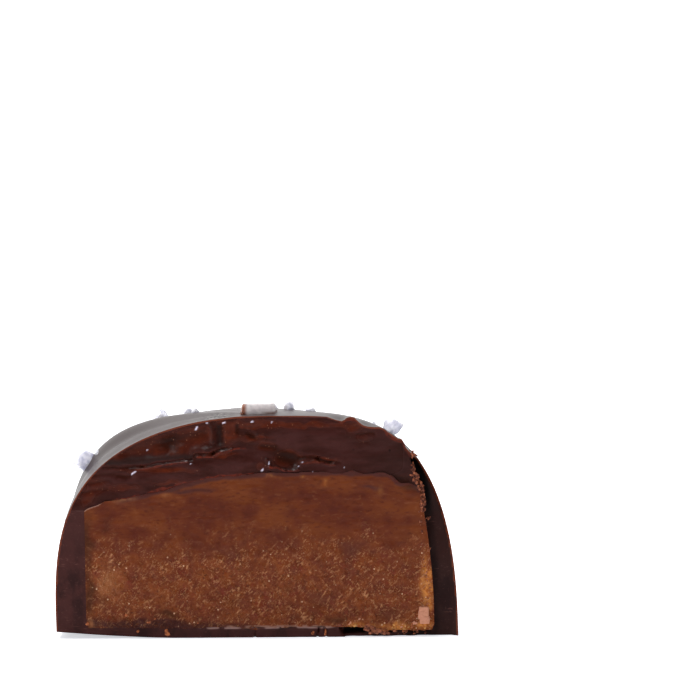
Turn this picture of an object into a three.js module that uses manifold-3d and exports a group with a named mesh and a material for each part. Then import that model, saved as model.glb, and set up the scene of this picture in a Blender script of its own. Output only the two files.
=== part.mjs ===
// Half of a round chocolate-covered candy, cut through its middle and standing on its base.
// The cut faces -Y. Behind it the shell of dark chocolate closes round a slab of soft caramel
// with a layer of dark ganache over it. Coarse salt grains sit on the coat.
import * as THREE from "three";
import { mergeVertices } from "three/addons/utils/BufferGeometryUtils.js";
import { ConvexGeometry } from "three/addons/geometries/ConvexGeometry.js";
import Module from "manifold-3d";

const wasm = await Module();
wasm.setup();

// Driving dimensions, in mm. The shapes are worked out round the middle of the whole candy,
// with the cut in the plane y = 0. A bearing runs from the right end of the cut (0 degrees)
// round the back (90) to the left end of the cut (180).
const RADIUS = 17;
const HEIGHT = 19;
const APEX = [1.5, 1.0]; // the highest point lies a little to the right and behind the cut

// How full the shoulder is at each bearing: 2 is an ellipse, more is boxier.
const FULLNESS = [
  [0, 3.12],
  [45, 2.38],
  [90, 2.42],
  [120, 2.79],
  [145, 3.1],
  [160, 3.85],
  [170, 3.1],
  [180, 2.89],
];
// Near the cut the sides wander off that curve by a hair: the size of a long and a short wave.
const SWAY_RIGHT = [-0.26, -0.22];
const SWAY_LEFT = [-0.14, 0.25];

// Chocolate shell
const FLOOR = 0.9; // thickness of the base plate
const COAT = 0.32; // thickness of the coat over the ganache
const BASE_LIFT = { from: -6.5, height: 0.6, power: 1.5, steps: 6 }; // its left end curls up
// The right wall broke instead of being cut, so its face is sunk behind the cut. So is a
// crumbled stretch of the base plate.
const BROKEN_FACE = { from: 12.6, top: 15.4, depth: 0.9, atEdge: 0.15, bevel: 0.7 };
const CRUMBLED = { from: 9.1, to: 13.2, top: 1.6, depth: 0.9 };

// Filling: what differs between the left end of the cut and the right end
const LEFT = { foot: 14.6, rim: 14.6, rimZ: 10.8, neck: 14.6, neckZ: 11.05, arch: 1.7 };
const RIGHT = { foot: 14.7, rim: 13.4, rimZ: 12.6, neck: 12.5, neckZ: 15.5, arch: 7 };
const CARAMEL_TOP = 14.2; // height of the caramel under the apex
const FOOT_ROUND = 0.5;
const NECK_LEDGE = 0.2; // least width of the shell's ledge under the ganache
const CARAMEL_PROUD = 0.06; // how far the caramel's face stands before the cut
const GAP = 0.12; // hairline between the layers

// Knife marks in the ganache's face: x and z of both ends, width, depth into the candy.
const FOLDS = [
  [-12.5, 15.9, -6.1, 17.3, 0.7, 0.35],
  [-11.8, 14.4, -5.5, 15.2, 0.35, 0.4],
  [-5.5, 15.2, -1.8, 16.4, 0.35, 0.4],
  [-12.9, 15.1, -5.7, 15.7, 0.5, -0.15],
  [-9.9, 13.3, -0.2, 15.0, 0.7, -0.2],
  [1.7, 14.9, 3.3, 16.1, 0.7, 0.5],
  [2.3, 16.3, 5.7, 15.7, 0.35, 0.35],
  [-1.5, 16.8, 3.6, 16.9, 0.5, 0.25],
  [-3.6, 18.2, -3.2, 17.0, 0.45, 0.4],
  [-2.5, 17.8, 7.2, 17.6, 0.7, -0.15],
  [8.0, 16.3, 12.0, 15.0, 1.2, 0.15],
];

// Salt grains that show at the cut: bearing, climb (both in degrees), length, width, height, turn,
// and the share of its width that a grain keeps at its tip
const SHOWN_GRAINS = [
  [162, 35.5, 1.9, 1.5, 1.6, 20, 0.9],
  [164, 42, 0.6, 0.4, 0.45, 70, 0.8],
  [150, 65, 1.9, 1.7, 1.5, 45, 0.15],
  [148, 73, 0.9, 0.8, 0.8, 10, 0.8],
  [154, 79, 1.0, 0.8, 0.75, 60, 0.4],
  [151, 89.2, 3.6, 1.5, 1.35, 0, 0.9],
  [86, 78, 0.9, 0.7, 0.7, 30, 0.5],
  [64, 81, 1.2, 1.1, 1.1, 80, 0.7],
  [34, 80, 1.15, 0.9, 0.65, 15, 0.6],
  [5, 67, 0.5, 0.45, 0.45, 0, 0.6],
  [7, 60, 1.45, 1.3, 1.6, 50, 1],
];
// The rest are scattered over the back.
const SCATTERED = 27;
const LARGE_GRAINS = 3;
const SCATTER = { bearing: [12, 168], climb: [5, 64], size: [0.9, 2.0], large: [2.7, 3.4] };
const SCATTER_DEPTH = [4.5, 16.2]; // clear of the cut, and of where a grain would stand out past the base
const GRAIN_SINK = 0.2; // how deep a grain is sunk in the coat, and the share of its height more
const GRAIN_SINK_SHARE = 0.15;
const CHIP_SKEW = 0.7; // how far a corner of a grain or chip strays from its edge's middle
const CHIP_LEAST = 0.72; // least share of the full size that a corner reaches

// Flakes of chocolate along the filling's broken right side, and crumbs at its foot
const FLAKE_SPACING = 1.12;
const FLAKE_SIZE = [0.55, 1.0];
const CRUMB_SPACING = 0.95;
const CRUMB_SIZE = [0.5, 0.85];

// Fineness of the faceted solids
const TURNS = 60;
const DOME_STEPS = 14;
const FOLD_CELL = 0.65;
const PLAIN_CELL = 12;

const CHOCOLATE = new THREE.MeshStandardMaterial({ color: 0x2b1c1c, roughness: 0.38, metalness: 0 });
const GANACHE = new THREE.MeshStandardMaterial({ color: 0x3a1c16, roughness: 0.18, metalness: 0 });
const CARAMEL = new THREE.MeshStandardMaterial({ color: 0x70381f, roughness: 0.5, metalness: 0 });

const radians = THREE.MathUtils.degToRad;
const mix = THREE.MathUtils.lerp;

// A seeded draw from 0 to 1, the same on every run
function makeDraw(seed) {
  let state = seed;
  return () => {
    state = (state * 1664525 + 1013904223) % 4294967296;
    return state / 4294967296;
  };
}

// Follows a table of [key, value] rows, with a smooth blend between two rows
function follow(table, key) {
  const last = table.findIndex((row) => row[0] >= key);
  if (last <= 0) return table[Math.max(last, 0)][1];
  const [k0, v0] = table[last - 1];
  const [k1, v1] = table[last];
  return mix(v0, v1, THREE.MathUtils.smoothstep(key, k0, k1));
}

// A point at radius r and height z. Smaller rings lie nearer to the apex, in plan.
function place(bearing, r, z) {
  const [shiftX, shiftY] = APEX.map((value) => value * (1 - r / RADIUS));
  const angle = radians(bearing);
  return new THREE.Vector3(shiftX + r * Math.cos(angle), shiftY + r * Math.sin(angle), z);
}

// Radius and height on the candy's outside, or `inset` inside it. Climb runs from 0 at the
// base to 90 at the top.
function domeProfile(bearing, climb, inset = 0) {
  const around = Math.abs(bearing);
  const fullness = follow(FULLNESS, around);
  const phi = radians(climb);
  const out = Math.max(Math.cos(phi), 0) ** (2 / fullness);
  const up = Math.sin(phi) ** (2 / fullness);
  const normal = new THREE.Vector2(
    out ** (fullness - 1) / RADIUS,
    up ** (fullness - 1) / HEIGHT,
  ).normalize();
  const cosine = Math.cos(radians(around));
  const [long, short] = cosine > 0 ? SWAY_RIGHT : SWAY_LEFT;
  const sway = cosine ** 4 * (long * Math.sin(2 * phi) + short * Math.sin(4 * phi));
  const offset = sway - inset;
  return [Math.max(RADIUS * out + offset * normal.x, 0), HEIGHT * up + offset * normal.y];
}

// The first climb at which a test of the profile holds, found by halving
function climbUntil(holds) {
  let low = 0;
  let high = 90;
  for (let i = 0; i < 30; i += 1) {
    const middle = (low + high) / 2;
    if (holds(middle)) high = middle;
    else low = middle;
  }
  return high;
}

// The filling's sizes at a bearing, blended from its two ends. Where the dome is rounder the
// neck sits lower, so that it stays inside the coat.
function fillingAt(bearing) {
  const share = (1 + Math.cos(radians(bearing))) / 2;
  const blended = Object.keys(LEFT).map((key) => [key, mix(LEFT[key], RIGHT[key], share)]);
  const filling = Object.fromEntries(blended);
  const inside = (climb) => domeProfile(bearing, climb, COAT);
  const meets = climbUntil((climb) => inside(climb)[0] < filling.neck + NECK_LEDGE);
  filling.neckZ = Math.min(filling.neckZ, inside(meets)[1]);
  return filling;
}

// From `start` up the dome to the apex, as [radius, height] rows
function climbToApex(bearing, start, inset, steps) {
  const rows = [];
  for (let i = 0; i <= steps; i += 1) {
    rows.push(domeProfile(bearing, mix(start, 90, (i / steps) ** 0.9), inset));
  }
  rows[steps][0] = 0;
  return rows;
}

// Profiles, each from the axis at the bottom to the axis at the top
function outsideProfile(bearing) {
  return [[0, 0], ...climbToApex(bearing, 0, 0, DOME_STEPS)];
}

function cavityProfile(bearing) {
  const f = fillingAt(bearing);
  const start = climbUntil((climb) => domeProfile(bearing, climb, COAT)[1] > f.neckZ);
  return [
    [0, FLOOR],
    [f.foot - FOOT_ROUND, FLOOR],
    [f.foot, FLOOR + FOOT_ROUND],
    ...sideRows(f, 0),
    [f.rim, f.rimZ],
    [f.neck, f.neckZ],
    ...climbToApex(bearing, start, COAT, DOME_STEPS - 4),
  ];
}

// Radius and height along the caramel's arched top, out to its rim
function archRows(bearing, lift, inset) {
  const f = fillingAt(bearing);
  const rim = f.rim - inset;
  return [1, 0.93, 0.82, 0.65, 0.45, 0.22, 0].map((share) => [
    rim * share,
    CARAMEL_TOP + lift - (CARAMEL_TOP - f.rimZ) * share ** f.arch,
  ]);
}

// Radius and height up the filling's bulging side, between its foot and its rim
function sideRows(f, inset) {
  return [0.3, 0.6, 0.8].map((share) => [
    mix(f.foot, f.rim, share ** 2) - inset,
    mix(FLOOR + FOOT_ROUND, f.rimZ, share),
  ]);
}

function caramelProfile(bearing) {
  const f = fillingAt(bearing);
  const foot = f.foot - GAP;
  return [
    [0, FLOOR + GAP],
    [foot - FOOT_ROUND, FLOOR + GAP],
    [foot, FLOOR + GAP + FOOT_ROUND],
    ...sideRows(f, GAP),
    ...archRows(bearing, -GAP, GAP),
  ];
}

function ganacheProfile(bearing) {
  const f = fillingAt(bearing);
  const inset = COAT + GAP;
  const start = climbUntil((climb) => domeProfile(bearing, climb, inset)[1] > f.neckZ + GAP);
  return [
    ...archRows(bearing, 0, GAP).reverse(),
    [f.neck - GAP, f.neckZ + GAP],
    ...climbToApex(bearing, start, inset, DOME_STEPS - 4),
  ];
}

// A closed solid from a geometry, with its shared corners joined
function solidFrom(geometry) {
  const bare = geometry.clone();
  bare.deleteAttribute("normal");
  bare.deleteAttribute("uv");
  const merged = mergeVertices(bare, 1e-4);
  const mesh = new wasm.Mesh({
    numProp: 3,
    vertProperties: new Float32Array(merged.attributes.position.array),
    triVerts: new Uint32Array(merged.index.array),
  });
  return new wasm.Manifold(mesh);
}

// A closed body whose profile changes with the bearing, all the way round
function turnedBody(profileAt) {
  const rings = [];
  for (let i = 0; i < TURNS; i += 1) {
    const bearing = ((i + 0.5) * 360) / TURNS - 180;
    rings.push(profileAt(bearing).map(([r, z]) => place(bearing, r, z)));
  }
  const count = rings[0].length;
  const positions = [];
  const index = [];
  rings.forEach((ring, i) => {
    ring.forEach((point) => positions.push(point.x, point.y, point.z));
    const here = i * count;
    const next = ((i + 1) % TURNS) * count;
    for (let j = 0; j + 1 < count; j += 1) {
      if (j > 0) index.push(here + j, next + j, next + j + 1);
      if (j + 2 < count || j === 0) index.push(here + j, next + j + 1, here + j + 1);
    }
  });
  const geometry = new THREE.BufferGeometry();
  geometry.setAttribute("position", new THREE.Float32BufferAttribute(positions, 3));
  geometry.setIndex(index);
  return solidFrom(geometry);
}

// Everything behind the cut: a block whose front is a height field, y = depthAt(x, z)
function blockBehind(depthAt, cell) {
  const columns = Math.ceil((2 * (RADIUS + 1)) / cell);
  const rows = Math.ceil((HEIGHT + 3) / cell);
  const back = RADIUS + 3;
  const positions = [];
  const index = [];
  const at = (side, i, j) => side * (columns + 1) * (rows + 1) + j * (columns + 1) + i;
  const quad = (a, b, c, d) => index.push(a, b, c, a, c, d);
  for (const side of [0, 1]) {
    for (let j = 0; j <= rows; j += 1) {
      for (let i = 0; i <= columns; i += 1) {
        const x = i * cell - RADIUS - 1;
        const z = j * cell - 1;
        positions.push(x, side ? back : depthAt(x, z), z);
      }
    }
  }
  for (let j = 0; j < rows; j += 1) {
    for (let i = 0; i < columns; i += 1) {
      quad(at(0, i, j), at(0, i + 1, j), at(0, i + 1, j + 1), at(0, i, j + 1));
      quad(at(1, i, j), at(1, i, j + 1), at(1, i + 1, j + 1), at(1, i + 1, j));
    }
  }
  for (let i = 0; i < columns; i += 1) {
    quad(at(0, i, 0), at(1, i, 0), at(1, i + 1, 0), at(0, i + 1, 0));
    quad(at(0, i, rows), at(0, i + 1, rows), at(1, i + 1, rows), at(1, i, rows));
  }
  for (let j = 0; j < rows; j += 1) {
    quad(at(0, 0, j), at(0, 0, j + 1), at(1, 0, j + 1), at(1, 0, j));
    quad(at(0, columns, j), at(1, columns, j), at(1, columns, j + 1), at(0, columns, j + 1));
  }
  const geometry = new THREE.BufferGeometry();
  geometry.setAttribute("position", new THREE.Float32BufferAttribute(positions, 3));
  geometry.setIndex(index);
  return solidFrom(geometry);
}

// Depth of the cut face of each layer behind the plane of the cut
function shellDepth(x, z) {
  if (x > CRUMBLED.from && x < CRUMBLED.to && z < CRUMBLED.top) return CRUMBLED.depth;
  if (x < BROKEN_FACE.from || z > BROKEN_FACE.top) return 0;
  const n = FULLNESS[0][1];
  const edge = RADIUS * Math.max(1 - (Math.max(z, 0) / HEIGHT) ** n, 0) ** (1 / n);
  const share = THREE.MathUtils.clamp((edge - x) / BROKEN_FACE.bevel, 0, 1);
  return mix(BROKEN_FACE.atEdge, BROKEN_FACE.depth, share);
}

function ganacheDepth(x, z) {
  let depth = 0;
  for (const [x0, z0, x1, z1, width, size] of FOLDS) {
    const along = new THREE.Vector2(x1 - x0, z1 - z0);
    const from = new THREE.Vector2(x - x0, z - z0);
    const share = THREE.MathUtils.clamp(from.dot(along) / along.lengthSq(), 0, 1);
    const distance = from.sub(along.multiplyScalar(share)).length();
    depth += size * Math.exp(-((distance / width) ** 2));
  }
  return depth;
}

// An angular chip: the hull of points near the middles of a box's edges. Its tip keeps a share of
// its width.
function chip(size, draw, rotation, centre, tip = 1) {
  const points = [];
  for (const flat of [0, 1, 2]) {
    for (const corner of [0, 1, 2, 3]) {
      const point = new THREE.Vector3(1, 1, 1);
      point.setComponent((flat + 1) % 3, corner & 1 ? 1 : -1);
      point.setComponent((flat + 2) % 3, corner & 2 ? 1 : -1);
      point.setComponent(flat, mix(-CHIP_SKEW, CHIP_SKEW, draw()));
      const narrow = mix(1, tip, (point.z + 1) / 2);
      point.multiply(size).multiplyScalar(0.5 * mix(CHIP_LEAST, 1, draw()));
      point.x *= narrow;
      point.y *= narrow;
      points.push(point.applyQuaternion(rotation).add(centre));
    }
  }
  return solidFrom(new ConvexGeometry(points));
}

// The outward direction at a point of the candy's outside
function outward(bearing, climb) {
  const step = 0.5;
  const at = (b, c) => place(b, ...domeProfile(b, c));
  const across = at(bearing + step, climb).sub(at(bearing - step, climb));
  const upward = at(bearing, climb + step).sub(at(bearing, climb - step));
  return across.cross(upward).normalize();
}

function grain([bearing, climb, length, width, height, turn, tip], draw) {
  const normal = outward(bearing, climb);
  const rotation = new THREE.Quaternion()
    .setFromUnitVectors(new THREE.Vector3(0, 0, 1), normal)
    .multiply(new THREE.Quaternion().setFromAxisAngle(new THREE.Vector3(0, 0, 1), radians(turn)));
  const foot = place(bearing, ...domeProfile(bearing, climb));
  const rise = height * (0.5 - GRAIN_SINK_SHARE) - GRAIN_SINK;
  const centre = foot.addScaledVector(normal, rise);
  return chip(new THREE.Vector3(length, width, height), draw, rotation, centre, tip);
}

// Spreads grains evenly over the back: each new one is the farthest of a few random places
function scatterGrains(draw) {
  const taken = SHOWN_GRAINS.map(([b, c]) => place(b, ...domeProfile(b, c)));
  const grains = [];
  for (let i = 0; i < SCATTERED; i += 1) {
    let best = { room: -1 };
    for (let tries = 0; tries < 9; tries += 1) {
      const bearing = mix(...SCATTER.bearing, draw());
      const climb = mix(...SCATTER.climb, draw());
      const spot = place(bearing, ...domeProfile(bearing, climb));
      const room = Math.min(...taken.map((other) => other.distanceTo(spot)));
      const fits = spot.y > SCATTER_DEPTH[0] && spot.y < SCATTER_DEPTH[1];
      if (fits && room > best.room) best = { room, bearing, climb, spot };
    }
    taken.push(best.spot);
    const range = i < LARGE_GRAINS ? SCATTER.large : SCATTER.size;
    const length = mix(...range, draw());
    const width = length * mix(0.6, 0.9, draw());
    const height = length * mix(0.4, 0.7, draw());
    const turn = 360 * draw();
    grains.push([best.bearing, best.climb, length, width, height, turn, mix(0.5, 1, draw())]);
  }
  return grains;
}

// Chips along the filling's right side, from the foot of the slab up to the neck
function flakes(fromZ, toZ, draw) {
  const f = fillingAt(0);
  const chips = [];
  for (let z = fromZ; z < toZ; z += FLAKE_SPACING) {
    const belowRim = THREE.MathUtils.clamp(z / f.rimZ, 0, 1) ** 2;
    const aboveRim = THREE.MathUtils.clamp((z - f.rimZ) / (f.neckZ - f.rimZ), 0, 1);
    const r = mix(mix(f.foot, f.rim, belowRim), f.neck, aboveRim);
    const centre = place(0, r, z).add(new THREE.Vector3(0, mix(-0.15, 0.1, draw()), 0));
    const size = mix(...FLAKE_SIZE, draw());
    const turned = new THREE.Quaternion().setFromEuler(new THREE.Euler(0, 3 * draw(), 0.3 * draw()));
    chips.push(chip(new THREE.Vector3(size, size * 0.6, size * 0.8), draw, turned, centre));
  }
  return chips;
}

// Crumbs of filling that hang over the broken stretch of the base plate
function crumbs(draw) {
  const chips = [];
  for (let x = CRUMBLED.from + 0.6; x < CRUMBLED.to - 0.6; x += CRUMB_SPACING) {
    const centre = new THREE.Vector3(x, 0.12, mix(0.85, 1.15, draw()));
    const size = mix(...CRUMB_SIZE, draw());
    const turned = new THREE.Quaternion().setFromEuler(new THREE.Euler(0, 3 * draw(), 0));
    chips.push(chip(new THREE.Vector3(size, size * 0.5, size * 0.8), draw, turned, centre));
  }
  return chips;
}

// The room under the base plate, where its left end lifts off the ground
function underside() {
  const { from, height, power, steps } = BASE_LIFT;
  const outline = [
    [-RADIUS, -1],
    [from, -1],
  ];
  for (let i = 0; i <= steps; i += 1) {
    outline.push([mix(from, -RADIUS, i / steps), height * (i / steps) ** power]);
  }
  outline.push([-RADIUS - 1, height], [-RADIUS - 1, -1]);
  return new wasm.CrossSection([outline])
    .extrude(RADIUS + 3)
    .rotate([90, 0, 0])
    .translate([0, RADIUS + 2, 0]);
}

function shell() {
  const draw = makeDraw(41);
  let body = turnedBody(outsideProfile).subtract(underside());
  const grains = [...SHOWN_GRAINS, ...scatterGrains(draw)];
  for (const row of grains) body = body.add(grain(row, draw));
  return body.subtract(turnedBody(cavityProfile)).intersect(blockBehind(shellDepth, FOLD_CELL));
}

function caramel() {
  const draw = makeDraw(7);
  let body = turnedBody(caramelProfile).intersect(blockBehind(() => -CARAMEL_PROUD, PLAIN_CELL));
  for (const piece of flakes(1.8, 11.7, draw)) body = body.add(piece);
  for (const piece of crumbs(draw)) body = body.add(piece);
  return body;
}

function ganache() {
  const draw = makeDraw(19);
  let body = turnedBody(ganacheProfile).intersect(blockBehind(ganacheDepth, FOLD_CELL));
  for (const piece of flakes(13.3, 15.2, draw)) body = body.add(piece);
  return body;
}

// A named mesh of a solid, with flat faces
function meshOf(name, solid, material) {
  const { numProp, vertProperties, triVerts } = solid.getMesh();
  const stored = new THREE.InterleavedBuffer(vertProperties, numProp);
  const geometry = new THREE.BufferGeometry();
  geometry.setAttribute("position", new THREE.InterleavedBufferAttribute(stored, 3, 0));
  geometry.setIndex(new THREE.BufferAttribute(triVerts, 1));
  const flat = geometry.toNonIndexed();
  flat.computeVertexNormals();
  const mesh = new THREE.Mesh(flat, material);
  mesh.name = name;
  return mesh;
}

// The part's own frame has its origin under the middle of the half, at its base.
const candy = new THREE.Group();
candy.add(
  meshOf("shell", shell(), CHOCOLATE),
  meshOf("ganache", ganache(), GANACHE),
  meshOf("caramel", caramel(), CARAMEL),
);
candy.position.y = -RADIUS / 2;

export default candy;
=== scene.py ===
import math

import bmesh
import bpy
import numpy as np
from mathutils import Matrix, Vector


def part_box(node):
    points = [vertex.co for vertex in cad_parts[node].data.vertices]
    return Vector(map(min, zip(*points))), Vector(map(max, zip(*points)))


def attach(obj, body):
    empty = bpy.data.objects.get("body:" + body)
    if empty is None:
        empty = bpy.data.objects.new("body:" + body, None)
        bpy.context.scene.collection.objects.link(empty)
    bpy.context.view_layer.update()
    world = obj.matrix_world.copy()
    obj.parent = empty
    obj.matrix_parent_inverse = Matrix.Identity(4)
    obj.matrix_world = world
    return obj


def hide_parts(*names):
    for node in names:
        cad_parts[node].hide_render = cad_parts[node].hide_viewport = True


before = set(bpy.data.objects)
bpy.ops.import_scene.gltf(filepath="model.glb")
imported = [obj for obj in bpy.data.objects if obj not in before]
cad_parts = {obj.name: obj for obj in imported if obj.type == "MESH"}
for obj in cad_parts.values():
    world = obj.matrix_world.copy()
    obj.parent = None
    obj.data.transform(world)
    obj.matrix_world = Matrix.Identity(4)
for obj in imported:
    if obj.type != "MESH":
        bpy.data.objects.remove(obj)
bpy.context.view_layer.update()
SHELL_LOW, SHELL_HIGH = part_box("shell")

MM = 0.001
CUT_Y = SHELL_LOW[1]

# Sizes in mm, round the middle of the whole candy, with the cut in the plane y = 0. A bearing
# runs from the right end of the cut (0) round the back (90) to its left end (180).
RADIUS = (SHELL_HIGH[0] - SHELL_LOW[0]) / 2 / MM
HEIGHT = 19.0
APEX = (1.5, 1.0)  # the highest point lies a little to the right and behind the cut
# How full the shoulder is at each bearing: 2 is an ellipse, more is boxier.
FULLNESS = [
    (0, 3.12), (45, 2.38), (90, 2.42), (120, 2.79), (145, 3.1), (160, 3.85), (170, 3.1), (180, 2.89),
]
# Near the cut the sides wander off that curve: the size of a long and a short wave.
SWAY_RIGHT = (-0.26, -0.22)
SWAY_LEFT = (-0.14, 0.25)

FLOOR = 0.9  # thickness of the base plate
COAT = 0.15  # thickness of the coat over the ganache
# Filling: what differs between the left end of the cut and the right end
LEFT = dict(foot=14.6, rim=14.6, rim_z=10.8, neck=14.6, neck_z=11.05, arch=1.7)
RIGHT = dict(foot=14.7, rim=13.4, rim_z=12.6, neck=12.5, neck_z=15.5, arch=7)
CARAMEL_TOP = 14.2  # height of the caramel under the apex
FOOT_ROUND = 0.2
NECK_LEDGE = 0.2  # least width of the shell's ledge under the ganache
CARAMEL_PROUD = 0.06  # how far the caramel's face stands before the cut
MOST_PROUD = 0.26  # the most that any fold of the ganache stands before it
DOME_INSET = 0.035  # keeps the coat's swells inside the solid
FACE_SLACK = 0.03  # how near to the cut's height field a point counts as on it

# The base plate's left end curls up, the right wall broke instead of being cut, and a stretch
# of the base plate crumbled.
BASE_LIFT = dict(start=-6.5, height=0.6, power=1.5, fade=1.5)
BROKEN_FACE = dict(start=12.6, top=15.4, depth=0.9, low_depth=0.45, at_edge=0.1, bevel=0.6)
CRUMBLED = dict(start=7.3, end=13.4, top=1.6, depth=0.9)

# Nicks and burrs of the rim on the right: x and how far it rises
NICKS = [
    (6.0, 0), (6.7, -0.2), (7.3, -0.26), (7.65, 0.1), (8.0, 0.27), (8.3, 0.25), (8.6, 0), (9.0, -0.22),
    (9.45, -0.2), (10.0, -0.04), (10.35, 0.13), (10.8, 0.17), (11.1, 0.08), (11.9, 0.08), (12.2, 0.3),
    (12.4, 0.2), (12.6, -0.12), (12.95, -0.15), (13.2, -0.05), (13.6, 0.1), (14.0, 0),
]
NICK_REACH = 0.9  # how far behind the cut they fade out

# Marks of the knife in the ganache: x and z of both ends, width, depth into the candy, and how
# much they add of painted shade in their hollows (red-brown), of the dull tone (dry, gray) and of
# painted light shining through thin edges.
MARKS = [
    # the torn hollow on the upper left, in two strokes
    (-10.6, 16.2, -7.1, 16.9, 0.75, 0.3, 0.4, 0.3, 0),
    (-7.1, 16.9, -4.5, 17.6, 0.85, 0.3, 0.5, 0.1, 0),
    # the dry strip under it, and the groove where it ends
    (-12.2, 15.1, -8.8, 15.35, 0.35, -0.05, 0, 1.0, 0),
    (-8.8, 15.35, -5.5, 15.6, 0.25, -0.08, 0, 1.0, 0),
    (-12.8, 14.62, -9.5, 14.73, 0.12, 0.12, 0.6, 0, 0),
    (-9.5, 14.73, -5.3, 15.4, 0.12, 0.14, 0.6, 0, 0),
    (-9.9, 14.45, -5.7, 15.15, 0.10, -0.05, 0.2, 0, 0.9),
    # a lip with a slit under it and a thin edge below that
    (-5.3, 16.0, -4.0, 16.1, 0.3, -0.16, -0.3, 0.3, 0),
    (-4.0, 16.1, -2.6, 16.5, 0.3, -0.16, -0.3, 0.2, 0),
    (-5.1, 15.78, -3.5, 15.88, 0.14, 0.14, 0.9, 0, 0),
    (-3.5, 15.88, -2.4, 16.35, 0.14, 0.14, 0.9, 0, 0),
    (-4.8, 15.55, -3.5, 15.64, 0.11, -0.12, 0, 0, 1.0),
    (-3.5, 15.64, -1.9, 16.2, 0.11, -0.12, 0, 0, 1.0),
    (-1.9, 16.2, -0.9, 16.28, 0.10, -0.05, 0, 0, 0.9),
    # an upright ridge beside an upright hollow
    (-3.76, 18.3, -3.53, 16.8, 0.16, -0.22, -0.4, 0.4, 0),
    (-3.05, 18.1, -2.94, 16.8, 0.40, 0.35, 0.5, 0.8, 0),
    # the smooth band dragged along under all of these
    (-9.7, 13.8, -5.5, 14.45, 0.60, -0.22, -0.3, 0, 0),
    (-5.5, 14.5, -0.5, 15.1, 0.70, -0.25, -0.4, 0, 0),
    (-11.5, 13.85, -10.5, 13.97, 0.22, 0.12, 0.8, 0, 0),
    # ripples beside the left wall
    (-14.6, 12.63, -12.4, 12.87, 0.2, 0.08, 0.5, 0, 0),
    (-14.3, 13.31, -12.0, 13.55, 0.2, 0.08, 0.5, 0, 0),
    (-13.7, 14.0, -11.8, 14.1, 0.2, 0.08, 0.5, 0, 0),
    # pits and a deep pocket under the smooth middle
    (-1.5, 18.2, -1.4, 17.6, 0.22, 0.12, 0.8, 0, 0),
    (-0.7, 17.45, -0.1, 17.4, 0.22, 0.15, 0.8, 0, 0),
    (-0.4, 17.2, 1.6, 16.95, 0.25, 0.15, 0.8, 0, 0),
    (0.6, 16.4, 1.6, 16.3, 0.35, 0.2, 0.9, 0, 0),
    (2.3, 15.5, 3.2, 15.3, 0.62, 0.42, 1.2, 0, 0),
    (0.95, 15.3, 1.25, 14.7, 0.14, -0.2, -0.2, 0, 0.5),
    (0.9, 14.75, 2.4, 14.4, 0.10, -0.22, 0, 0, 0.8),
    (2.4, 14.4, 3.6, 14.28, 0.10, -0.18, 0, 0, 0.7),
    # a wavy fold to the right of the pocket
    (3.7, 15.4, 5.2, 15.38, 0.15, 0.18, 0.9, 0, 0),
    (5.2, 15.38, 6.3, 15.05, 0.15, 0.18, 0.9, 0, 0),
    (6.3, 15.05, 7.2, 14.98, 0.12, 0.1, 0.6, 0, 0),
    (3.9, 14.9, 5.2, 15.12, 0.09, -0.1, 0, 0, 0.7),
    (5.2, 15.12, 6.7, 14.72, 0.09, -0.1, 0, 0, 0.7),
    # the broad smooth middle, and the dry right side with its darker foot
    (0.8, 17.6, 7.4, 17.2, 0.90, -0.15, -0.6, 0, 0),
    (8.5, 17.37, 9.9, 17.4, 0.20, 0.08, 0.8, 0, 0),
    (7.2, 16.7, 9.4, 16.7, 0.15, 0.05, 0.5, 0, 0),
    (11.5, 13.6, 12.7, 13.35, 0.45, 0.12, 0.9, 0, 0),
]

# Where light shines through the ganache and makes it a warm brown: x, z, half width, half height,
# strength. Elsewhere it is a duller purple brown, partly a painted reflection on its smooth flats.
WARM = [
    (-8.6, 16.5, 3.2, 0.9, 0.9), (-4.9, 17.4, 1.5, 0.7, 1.0), (-11.6, 15.7, 0.9, 0.5, 0.8),
    (-2.2, 17.3, 0.6, 1.0, 0.8), (-0.5, 18.3, 2.6, 0.35, 0.9), (4.2, 18.2, 3.6, 0.3, 0.9),
    (-13.6, 13.2, 1.2, 0.9, 0.5), (-14.3, 11.9, 0.8, 0.6, 0.6), (-8.0, 14.4, 3.6, 0.25, 0.8),
    (-0.1, 17.1, 1.3, 0.3, 0.8), (1.0, 16.4, 0.8, 0.35, 0.8), (2.7, 15.4, 1.0, 0.7, 1.0),
    (-3.0, 15.8, 1.8, 0.25, 0.8), (-6.6, 13.4, 2.4, 0.25, 0.7), (9.2, 17.0, 1.0, 0.4, 0.4),
    (8.2, 17.9, 0.8, 0.5, 0.7), (5.6, 15.1, 1.3, 0.25, 0.9), (12.2, 13.5, 0.8, 0.4, 0.9),
    (-10.9, 13.0, 1.6, 0.3, 0.6), (0.6, 14.8, 0.5, 0.5, 0.7),
]
# Small painted highlights on the ganache's edges: x0, z0, x1, z1, width
GLINTS = [
    (-10.35, 14.12, -10.05, 14.35, 0.03), (-4.95, 17.85, -4.85, 18.05, 0.04),
    (-4.05, 18.41, -4.0, 18.43, 0.03), (-2.7, 18.38, -2.5, 18.45, 0.03),
    (-0.27, 18.5, -0.2, 18.53, 0.04), (1.4, 18.45, 1.42, 18.48, 0.02), (1.12, 14.9, 1.16, 15.1, 0.01),
    (0.52, 14.32, 0.62, 14.44, 0.04), (3.9, 15.0, 3.92, 15.03, 0.02), (3.6, 14.66, 3.62, 14.68, 0.02),
    (4.77, 14.15, 4.78, 14.18, 0.03), (10.8, 13.8, 10.9, 13.73, 0.03),
    (-9.06, 16.1, -9.04, 16.12, 0.03), (-5.4, 15.0, -5.38, 15.02, 0.01),
    (7.4, 14.55, 7.44, 14.56, 0.01),
]
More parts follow.
